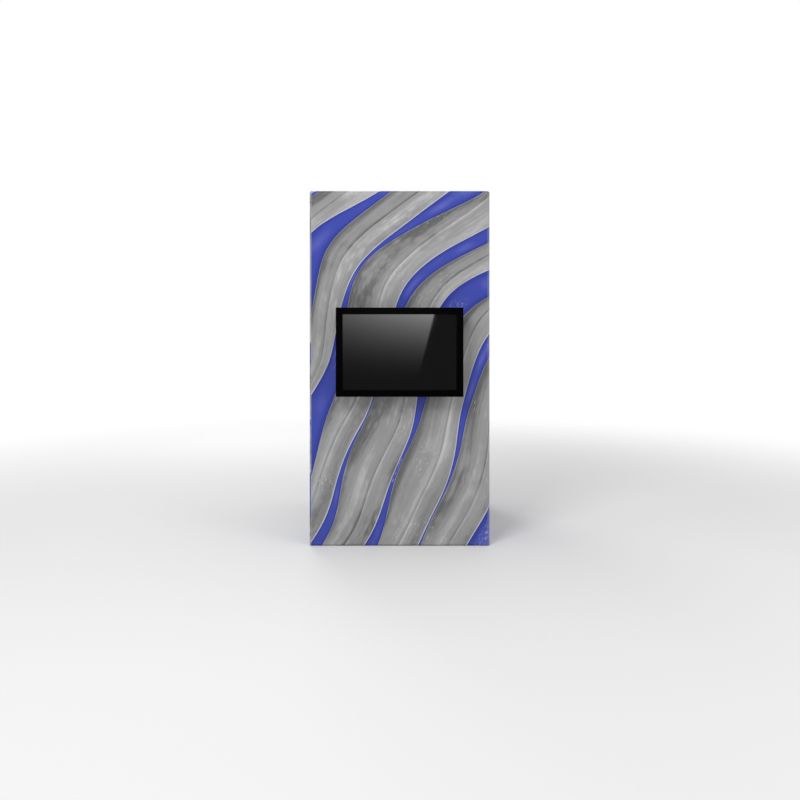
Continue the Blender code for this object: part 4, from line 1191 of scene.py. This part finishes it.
def repeatPiece(name, piece, finish, body, pitch=0.004, wander=0.0, seed=1, paths=None, points=None):
    # Runs a repeat tree on edge paths or on (place, facing) points and leaves a plain mesh
    mesh = bpy.data.meshes.new(name)
    if paths is not None:
        verts, edges = [], []
        for path in paths:
            start = len(verts)
            verts += path
            edges += [(start + i, start + i + 1) for i in range(len(path) - 1)]
        mesh.from_pydata(verts, edges, [])
    else:
        mesh.from_pydata([place for place, _ in points], [], [])
        layer = mesh.attributes.new("facing", "FLOAT_VECTOR", "POINT")
        facings = np.array([facing for _, facing in points], dtype=np.float32)
        layer.data.foreach_set("vector", facings.ravel())
    obj = linked(name, mesh)
    maker = obj.modifiers.new("repeat", "NODES")
    maker.node_group = pointTree if paths is None else alongTree
    values = {"Piece": piece, "Pitch": pitch, "Wander": wander, "Seed": seed, "Finish": finish}
    for item in maker.node_group.interface.items_tree:
        if item.in_out == "INPUT" and item.name in values:
            maker[item.identifier] = values[item.name]
    freeze(obj)
    bpy.data.objects.remove(piece, do_unlink=True)
    obj.data.shade_smooth()
    obj.data.set_sharp_from_angle(angle=repeatSharp)
    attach(obj, body)
    return obj


# Seams: a narrow overlocked welt over each join, and a line of stitches beside it

seamLook = {
    "weltHalf": 0.0009,
    "weltRise": 0.0007,
    "weltFoot": 0.0003,  # how far the welt reaches into the cloth
    "weltSteps": 5,
    "weltRows": 60,
    "stitchPitch": 0.0036,
    "stitchLength": 0.0027,
    "stitchThickness": 0.00042,
    "stitchWander": 0.05,  # radians
    "rowOffset": 0.0052,
    "zipRowOffset": 0.0030,
    "hemStitchZ": 0.024,
    "lidStitchDrop": 0.0050,
    "ringZipGap": 0.001,
    "ringStep": 0.05,
    "ringArcSteps": 8,
    "footGap": 0.001,
    "topGap": 0.0005,
}
threadGrey = makeThread("thread_grey", (0.50, 0.50, 0.51))
bindingGrey = makeThread("seam_binding", (0.60, 0.60, 0.61))


def makeStitch():
    bm = bmesh.new()
    half, thin = seamLook["stitchLength"] / 2, seamLook["stitchThickness"] / 2
    shape = Matrix.Diagonal((half, thin, thin, 1.0)) @ Matrix.Rotation(quarter, 4, "Y")
    bmesh.ops.create_uvsphere(bm, u_segments=6, v_segments=4, radius=1.0, matrix=shape)
    return meshFrom("stitch", bm)


def perimeter(z):
    # A line round the sleeve at one height, from one side of the zip to the other
    look = seamLook
    beside = tapeHalf + look["ringZipGap"]
    line = [(zipX - beside, tower["rearY"])]
    for centreX, centreY, turns in ((-px, ry, 1), (-px, fy, 2), (px, fy, 3), (px, ry, 0)):
        arc = cornerArc(centreX, centreY, turns * quarter, (turns + 1) * quarter, look["ringArcSteps"])
        line += spread(line[-1], arc[0], look["ringStep"]) + arc
    line.append((zipX + beside, tower["rearY"]))
    return [(x, y, z) for x, y in line]


def sweepWelt(name, base, out, sideways, heights):
    # A low half-round bead up a seam
    half, rise, foot = seamLook["weltHalf"], seamLook["weltRise"], seamLook["weltFoot"]
    bm = bmesh.new()
    rings = []
    for z in heights:
        point = Vector((*base, z))
        ring = []
        for angle in np.linspace(0, math.pi, seamLook["weltSteps"] + 1):
            spot = point + sideways * half * math.cos(angle) + out * rise * math.sin(angle)
            ring.append(bm.verts.new(spot))
        for side in (-1, 1):
            ring.append(bm.verts.new(point + sideways * half * side - out * foot))
        rings.append(ring)
    bridge(bm, rings, capped=True)
    return meshFrom(name, bm, bindingGrey, sharp=50)


seamPlaces = {
    "front_left": (-px, fy, math.pi + seam),
    "front_right": (px, fy, -seam),
    "rear_left": (-px, ry, math.pi - seam),
}
seamFoot = tower["hemHeight"] + seamLook["footGap"]
seamTop = tower["lidZ"] - seamLook["topGap"]
seamHeights = np.linspace(seamFoot, seamTop, seamLook["weltRows"])
rowSpots = {}
for name, (centreX, centreY, angle) in seamPlaces.items():
    out = Vector((math.cos(angle), math.sin(angle), 0))
    sideways = Vector((-math.sin(angle), math.cos(angle), 0))
    base = cornerPoint(centreX, centreY, angle)
    welt = sweepWelt("seam_welt_" + name, base, out, sideways, seamHeights)
    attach(welt, "frame")
    # Stitches stand on the flat face beside the corner
    faceY = tower["frontY"] if centreY == fy else tower["rearY"]
    rowSpots[name] = (base[0] - math.copysign(seamLook["rowOffset"], base[0]), faceY)
for side, sign in (("left", -1), ("right", 1)):
    rowSpots["zip_" + side] = (zipX + sign * (tapeHalf + seamLook["zipRowOffset"]), tower["rearY"])
# Seed and path of each row
stitchRows = {name: (3, [(*spot, seamFoot), (*spot, seamTop)]) for name, spot in rowSpots.items()}
stitchRows["hem"] = (4, perimeter(seamLook["hemStitchZ"]))
stitchRows["lid"] = (5, perimeter(tower["lidZ"] - seamLook["lidStitchDrop"]))
for name, (seed, row) in stitchRows.items():
    repeatPiece(
        "stitches_" + name, makeStitch(), threadGrey, "frame",
        pitch=seamLook["stitchPitch"], wander=seamLook["stitchWander"], seed=seed, paths=[row],
    )
print("seams and stitches")


# Zip: two woven tapes, a row of coil teeth and its stops

zipLook = {
    "tapeThickness": 0.0008,
    "tapeEdge": 0.0002,
    "gap": 0.0006,
    "toothPitch": 0.0021,
    "toothReach": 0.0030,
    "toothLoop": (0.45, 0.55),  # middle and half width of a loop, as shares of its reach
    "toothRise": 0.001368,
    "toothThickness": 0.00075,
    "toothSteps": 6,
    "toothSides": 5,
    "firstTooth": 0.061,
    "lastGap": 0.004,
    "stopHalf": 0.0036,
    "stopLength": 0.0060,
    "stopGap": 0.0015,
    "stopDepth": (0.0004, 0.0021),  # into the tape, out of it
    "stopEdge": 0.0006,
}


def makeTape(name, fromX, toX, finish):
    rearY = tower["rearY"]
    bm = bmesh.new()
    low = (fromX, rearY - zipLook["tapeThickness"], tower["hemHeight"])
    blockBetween(bm, low, (toX, rearY, tower["lidZ"]), zipLook["tapeEdge"], 2)
    obj = meshFrom(name, bm, finish, smooth=False)
    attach(obj, "frame")
    return obj


def makeTooth(side):
    # One turn of the coil: a bent monofilament seen as a rounded loop across the zip
    look = zipLook
    thick = look["toothThickness"] / 2
    bm = bmesh.new()
    middle, half = look["toothLoop"]
    path = []
    for angle in np.linspace(0, math.pi, look["toothSteps"] + 1):
        across = look["toothReach"] * (middle - half * math.cos(angle))
        path.append((across, look["toothRise"] * math.sin(angle)))
    rings = []
    for index, point in enumerate(path):
        tangent = tangentAt(path, index)
        normal = Vector((-tangent.y, tangent.x))
        ring = []
        for turn in range(look["toothSides"]):
            angle = math.tau * turn / look["toothSides"]
            spot = Vector(point) + normal * thick * math.cos(angle)
            # X runs across the zip, Y along it, Z outwards from the tape
            ring.append(bm.verts.new((side * spot.x, thick * math.sin(angle), spot.y + thick)))
        rings.append(ring)
    bridge(bm, rings, capped=True)
    return meshFrom("coil_turn", bm)


tapeWeave = makeTapeFinish("zip_tape_weave", (0.016, 0.016, 0.017))
coilNylon = makeMoulded("coil_nylon", (0.014, 0.014, 0.015), 0.32, 1500.0, 0.00001)
leftTape = makeTape("zip_tape_left", zipX - tapeHalf, zipX - zipLook["gap"] / 2, tapeWeave)
makeTape("zip_tape_right", zipX + zipLook["gap"] / 2, zipX + tapeHalf, tapeWeave)
toothHeights = np.arange(zipLook["firstTooth"], tower["lidZ"] - zipLook["lastGap"], zipLook["toothPitch"])
for side, sideName in ((-1, "left"), (1, "right")):
    shift = 0.0 if side < 0 else zipLook["toothPitch"] / 2
    repeatPiece(
        "zip_coil_" + sideName, makeTooth(side), coilNylon, "frame",
        points=[((zipX, tower["rearY"], z + shift), (0, 1, 0)) for z in toothHeights],
    )
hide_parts("zip_chain")

stopTop = zipLook["firstTooth"] - zipLook["stopGap"]
into, outOf = zipLook["stopDepth"]
bm = bmesh.new()
blockBetween(
    bm,
    (zipX - zipLook["stopHalf"], tower["rearY"] - into, stopTop - zipLook["stopLength"]),
    (zipX + zipLook["stopHalf"], tower["rearY"] + outOf, stopTop),
    zipLook["stopEdge"], 3,
)
zipStop = meshFrom("zip_stop", bm, nickelPlate, sharp=40)
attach(zipStop, "frame")
print("zip:", 2 * len(toothHeights), "coil turns")


# Fasteners of the mount, turned or forged shapes repeated on points

fastenerLook = {
    "studRadius": 0.004,
    "boreGap": 0.0002,
    "washerRadius": 0.0080,
    "washerThickness": 0.0016,
    "washerEdge": 0.0003,
    "nutAcross": 0.0130,
    "nutHeight": 0.0065,
    "nutCorner": 1.115,  # how far its corners reach, as a share of half its width
    "nutFoot": (0.94, 0.0006),  # share of its width and height of the eased edge
    "nutCrown": (0.90, 0.0012),
    "collarHeight": 0.0016,
    "collarShares": (0.86, 0.84, 0.76),
    "collarEdge": 0.0004,
    "domeSteps": 6,
    "domeEnd": 0.62,  # radians off the axis, where the socket's flat begins
    "socketFloor": 0.28,
    "screwHead": (0.0058, 0.0033, 0.0040),  # radius, height, width of the hexagon socket
    "coverScrew": (0.0031, 0.0022, 0.0021),
    "socketEdge": 0.0002,
    "seat": 0.00005,
}
# Pressed eyelet: (radius, height) pairs
eyeletProfile = [
    (0.0052, 0.00018), (0.0060, 0.00024), (0.0095, 0.00020), (0.0100, 0.00005),
    (0.0100, -0.0001), (0.0058, -0.0001), (0.0052, -0.0009), (0.0050, -0.0009),
]


def ringOf(bm, reach, height, steps=36):
    # Vertices round Z at a radius, or at a radius for each angle
    spots = []
    for i in range(steps):
        angle = math.tau * i / steps
        radius = reach(angle) if callable(reach) else reach
        spots.append(bm.verts.new((radius * math.cos(angle), radius * math.sin(angle), height)))
    return spots


def hexagon(half):
    # The radius of a hexagon at an angle, from half its width across flats
    def reach(angle):
        return half / math.cos((angle + math.pi / 6) % (math.pi / 3) - math.pi / 6)
    return reach


def lathe(bm, profile):
    # A closed ring turned from (radius, height) pairs
    rings = [ringOf(bm, radius, height, 32) for radius, height in profile]
    bridge(bm, rings + rings[:1])


def makeNut():
    # Washer, hexagon nut with eased corners, and its round locking collar
    look = fastenerLook
    bm = bmesh.new()
    bore = look["studRadius"] + look["boreGap"]
    wide, thick, edge = look["washerRadius"], look["washerThickness"], look["washerEdge"]
    rim = [(wide - edge, 0.0), (wide, edge), (wide, thick - edge), (wide - edge, thick)]
    lathe(bm, [(bore, 0.0), *rim, (bore, thick)])
    half = look["nutAcross"] / 2
    flats = hexagon(half)

    def turned(share):
        # The hexagon with its corners turned off, drawn in by a share at its edges
        return lambda angle: min(flats(angle), half * look["nutCorner"]) * share

    low, top = thick + 2 * look["seat"], thick + look["nutHeight"]
    (footShare, footEdge), (crownShare, crownEdge) = look["nutFoot"], look["nutCrown"]
    side = [(turned(1.0), low + footEdge), (turned(1.0), top - crownEdge)]
    levels = [(bore, low), (turned(footShare), low), *side, (turned(crownShare), top), (bore, top)]
    rings = [ringOf(bm, reach, height) for reach, height in levels]
    bridge(bm, rings + rings[:1])
    collarTop = top + look["collarHeight"]
    levels = (top, collarTop - look["collarEdge"], collarTop)
    collar = [(half * share, level) for share, level in zip(look["collarShares"], levels)]
    lathe(bm, [(bore, top), *collar, (bore, collarTop)])
    return meshFrom("nut", bm)


def makeScrewHead(radius, height, drive):
    # Button head with a hexagon socket
    look = fastenerLook
    bm = bmesh.new()
    angles = np.linspace(quarter, look["domeEnd"], look["domeSteps"])
    dome = [(radius * math.sin(angle), height * math.cos(angle)) for angle in angles]
    top = dome[-1][1]
    socket = hexagon(drive / 2)
    levels = [(socket, level) for level in (top, top - look["socketEdge"], height * look["socketFloor"])]
    rings = [ringOf(bm, reach, level) for reach, level in dome + levels]
    bridge(bm, rings)
    bm.faces.new(rings[-1])
    bm.faces.new(rings[0][::-1])
    return meshFrom("screw_head", bm)


def makeEyelet():
    # Thin pressed ring in the cloth
    bm = bmesh.new()
    lathe(bm, eyeletProfile)
    return meshFrom("eyelet", bm)


mountLook = {
    "plateFront": 0.0028,  # the wall plate's web, this far before the cloth
    "armFront": 0.0657,
    "armSheet": 0.0025,
    "armScrews": (-0.1, 0.1),
}
nutY = tower["frontY"] - mountLook["plateFront"] - fastenerLook["seat"]
repeatPiece(
    "stud_nuts", makeNut(), zincPlate, "frame",
    points=[((x, nutY, z), (0, -1, 0)) for x, z in studs],
)
repeatPiece(
    "sleeve_eyelets", makeEyelet(), nickelPlate, "frame",
    points=[((x, tower["frontY"], z), (0, -1, 0)) for x, z in studs],
)
armY = max(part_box("tilt_arm_left")[0][1], tower["frontY"] - mountLook["armFront"]) + mountLook["armSheet"]
armX = [middleOf("tilt_arm_" + side, 0) for side in sideNames]
armZ = middleOf("tilt_arm_left", 2)
repeatPiece(
    "screen_screws", makeScrewHead(*fastenerLook["screwHead"]), zincPlate, "screen",
    points=[((x, armY, armZ + z), (0, 1, 0)) for x in armX for z in mountLook["armScrews"]],
)

# Cover screws on the rear cover's sloping rim
coverLook = {
    "rimDepth": 0.0140,
    "slopeRise": 0.0040,
    "humpHalf": (0.300, 0.200),
    "sideScrews": (0.385, (-0.150, 0.0, 0.150)),
    "edgeScrews": (0.260, (-0.240, 0.0, 0.240)),
}
coverLow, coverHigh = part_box("monitor_back_cover")
coverHalf = (coverHigh[0], coverHigh[2] - middleOf("monitor_back_cover", 2))
slopes = [coverLook["slopeRise"] / (half - hump) for half, hump in zip(coverHalf, coverLook["humpHalf"])]
coverPoints = []


def addCoverScrew(x, z, tilt):
    # The rim slopes up to the hump, so a screw leans with it
    slope = slopes[0] if tilt[0] else slopes[1]
    inset = coverHalf[0] - abs(x) if tilt[0] else coverHalf[1] - abs(z)
    place = (x, coverLow[1] + coverLook["rimDepth"] + slope * inset, middleOf("monitor_back_cover", 2) + z)
    coverPoints.append((place, (slope * tilt[0], 1, slope * tilt[1])))


sideX, sideZs = coverLook["sideScrews"]
edgeZ, edgeXs = coverLook["edgeScrews"]
for sign in (-1, 1):
    for z in sideZs:
        addCoverScrew(sign * sideX, z, (sign, 0))
for sign in (-1, 1):
    for x in edgeXs:
        addCoverScrew(x, sign * edgeZ, (0, sign))
repeatPiece(
    "cover_screws", makeScrewHead(*fastenerLook["coverScrew"]), zincPlate, "screen",
    points=coverPoints,
)
print("fasteners:", len(studs), "nuts,", 4 + len(coverPoints), "screws")


# The room: pale floor, soft lights, the photograph's camera

room = {
    "floorRadius": 14.0,
    "floorWhite": (0.80, 0.80, 0.80),
    "floorFade": (1.6, 7.0),
    "floorSpeckle": (60.0, 0.985),  # scale, darkest share
    "world": 0.50,
    "cameraDistance": 4.772,
    "cameraHeight": 1.450,
    "lens": 31.73,
    "shiftX": 0.0005,
    "shiftY": -0.08555,
}
lamps = {
    # place, aim, size, power
    "key": ((-2.2, -4.6, 5.0), (0, -0.4, 1.6), 2.2, 160.0),
    "fill": ((4.2, -3.6, 2.6), (0, 0.0, 1.1), 2.6, 55.0),
    "back": ((-2.4, 5.2, 3.4), (0, 0.3, 1.2), 2.6, 110.0),
    "top": ((0.0, 0.0, 5.6), (0, 0, 1.0), 3.0, 60.0),
}


def makeFloor():
    bm = bmesh.new()
    bmesh.ops.create_circle(bm, cap_ends=True, segments=96, radius=room["floorRadius"])
    finish, tree = bareFinish("pale_floor")
    far = addNode(tree, "ShaderNodeVectorMath", {0: rawPlace(tree)}, operation="LENGTH").outputs["Value"]
    scale, darkest = room["floorSpeckle"]
    speckle = noise(tree, objectPlace(tree), scale, 3.0)
    tone = mixColour(tree, speckle, room["floorWhite"], toned(room["floorWhite"], darkest))
    matt = addNode(tree, "ShaderNodeBsdfDiffuse", {"Color": tone}).outputs[0]
    clear = addNode(tree, "ShaderNodeBsdfTransparent").outputs[0]
    fade = between(tree, far, *room["floorFade"])
    shown = addNode(tree, "ShaderNodeMixShader", {0: fade, 1: matt, 2: clear}).outputs[0]
    addNode(tree, "ShaderNodeOutputMaterial", {"Surface": shown})
    meshFrom("floor", bm, finish, smooth=False, outward=False)


def makeWorld():
    world = bpy.data.worlds.new("studio")
    bpy.context.scene.world = world
    world.use_nodes = True
    tree = world.node_tree
    tree.nodes.clear()
    ray = addNode(tree, "ShaderNodeLightPath").outputs
    seen = maths(tree, "MAXIMUM", ray["Is Camera Ray"], ray["Is Glossy Ray"])
    seen = maths(tree, "MAXIMUM", seen, ray["Is Transmission Ray"])
    level = between(tree, seen, 0.0, 1.0, room["world"], 1.0, "LINEAR")
    sky = addNode(tree, "ShaderNodeBackground", {"Color": (1, 1, 1, 1), "Strength": level}).outputs[0]
    addNode(tree, "ShaderNodeOutputWorld", {"Surface": sky})


def makeLight(name, place, aim, size, power):
    lamp = bpy.data.lights.new(name, "AREA")
    lamp.shape = "RECTANGLE"
    lamp.size = lamp.size_y = size
    lamp.energy = power
    obj = linked(name, lamp)
    obj.location = place
    obj.rotation_euler = (Vector(aim) - Vector(place)).to_track_quat("-Z", "Y").to_euler()
    obj.visible_glossy = False


# Glare on the glass: a bright card and a dark flag that only reflections see

glareLook = {
    "distance": 6.0,
    "screenFront": 0.124,  # the glass, this far before the cloth
    "screenX": -0.3955,
    "screenZ": (1.0605, 1.5675),
    "slantTop": 0.230,
    "slantFoot": 0.100,
    "strength": 3.33,
    "fall": 2.9,
    "sides": (0.59, 1.67),
    "flag": (4.2, -3.0, 4.2),  # half width, foot, top
    "flagGap": 0.05,
}
glassY = tower["frontY"] - glareLook["screenFront"]


def reflectedX(x):
    # Where the camera's mirror ray from a point of the glass meets the card in front
    return x * (1 + glareLook["distance"] / (room["cameraDistance"] - glareLook["screenFront"]))


def reflectedZ(z):
    share = glareLook["distance"] / (room["cameraDistance"] - glareLook["screenFront"])
    return z + (z - room["cameraHeight"]) * share


def makeCard(name, y, corners, finish):
    bm = bmesh.new()
    bm.faces.new([bm.verts.new((x, y, z)) for x, z in corners])
    card = meshFrom(name, bm, finish, smooth=False)
    for ray in ("camera", "diffuse", "transmission", "volume_scatter", "shadow"):
        setattr(card, "visible_" + ray, False)


def makeGlareCards():
    look = glareLook
    near = glassY - look["distance"]
    left, footX, topX = (reflectedX(x) for x in (look["screenX"], look["slantFoot"], look["slantTop"]))
    footZ, topZ = (reflectedZ(z) for z in look["screenZ"])
    glow, tree = bareFinish("glare_card")
    split = splitPlace(tree, rawPlace(tree))
    fall = maths(tree, "POWER", between(tree, split[2], footZ, topZ + 0.01, 0.0, 1.0, "LINEAR"), look["fall"])
    side = between(tree, split[0], left, topX, *look["sides"], "LINEAR")
    level = times(tree, times(tree, fall, side), look["strength"])
    shine = addNode(tree, "ShaderNodeEmission", {"Strength": level}).outputs[0]
    addNode(tree, "ShaderNodeOutputMaterial", {"Surface": shine})
    makeCard("glare_card", near, [(left, footZ), (footX, footZ), (topX, topZ), (left, topZ)], glow)
    # The dark flag behind it fills the rest of what the glass and bezel mirror
    black, tree = bareFinish("dark_flag")
    dark = addNode(tree, "ShaderNodeEmission", {"Strength": 0.0}).outputs[0]
    addNode(tree, "ShaderNodeOutputMaterial", {"Surface": dark})
    wide, foot, tall = look["flag"]
    corners = [(-wide, foot), (wide, foot), (wide, tall), (-wide, tall)]
    makeCard("dark_flag", near - look["flagGap"], corners, black)


makeFloor()
makeWorld()
makeGlareCards()
for name, settings in lamps.items():
    makeLight(name, *settings)

camera = linked("camera", bpy.data.cameras.new("camera"))
camera.data.lens = room["lens"]
camera.data.shift_x = room["shiftX"]
camera.data.shift_y = room["shiftY"]
camera.location = (0, tower["frontY"] - room["cameraDistance"], room["cameraHeight"])
camera.rotation_euler = (quarter, 0, 0)
bpy.context.scene.camera = camera
bpy.context.scene.view_settings.view_transform = "Standard"

print("finishing")
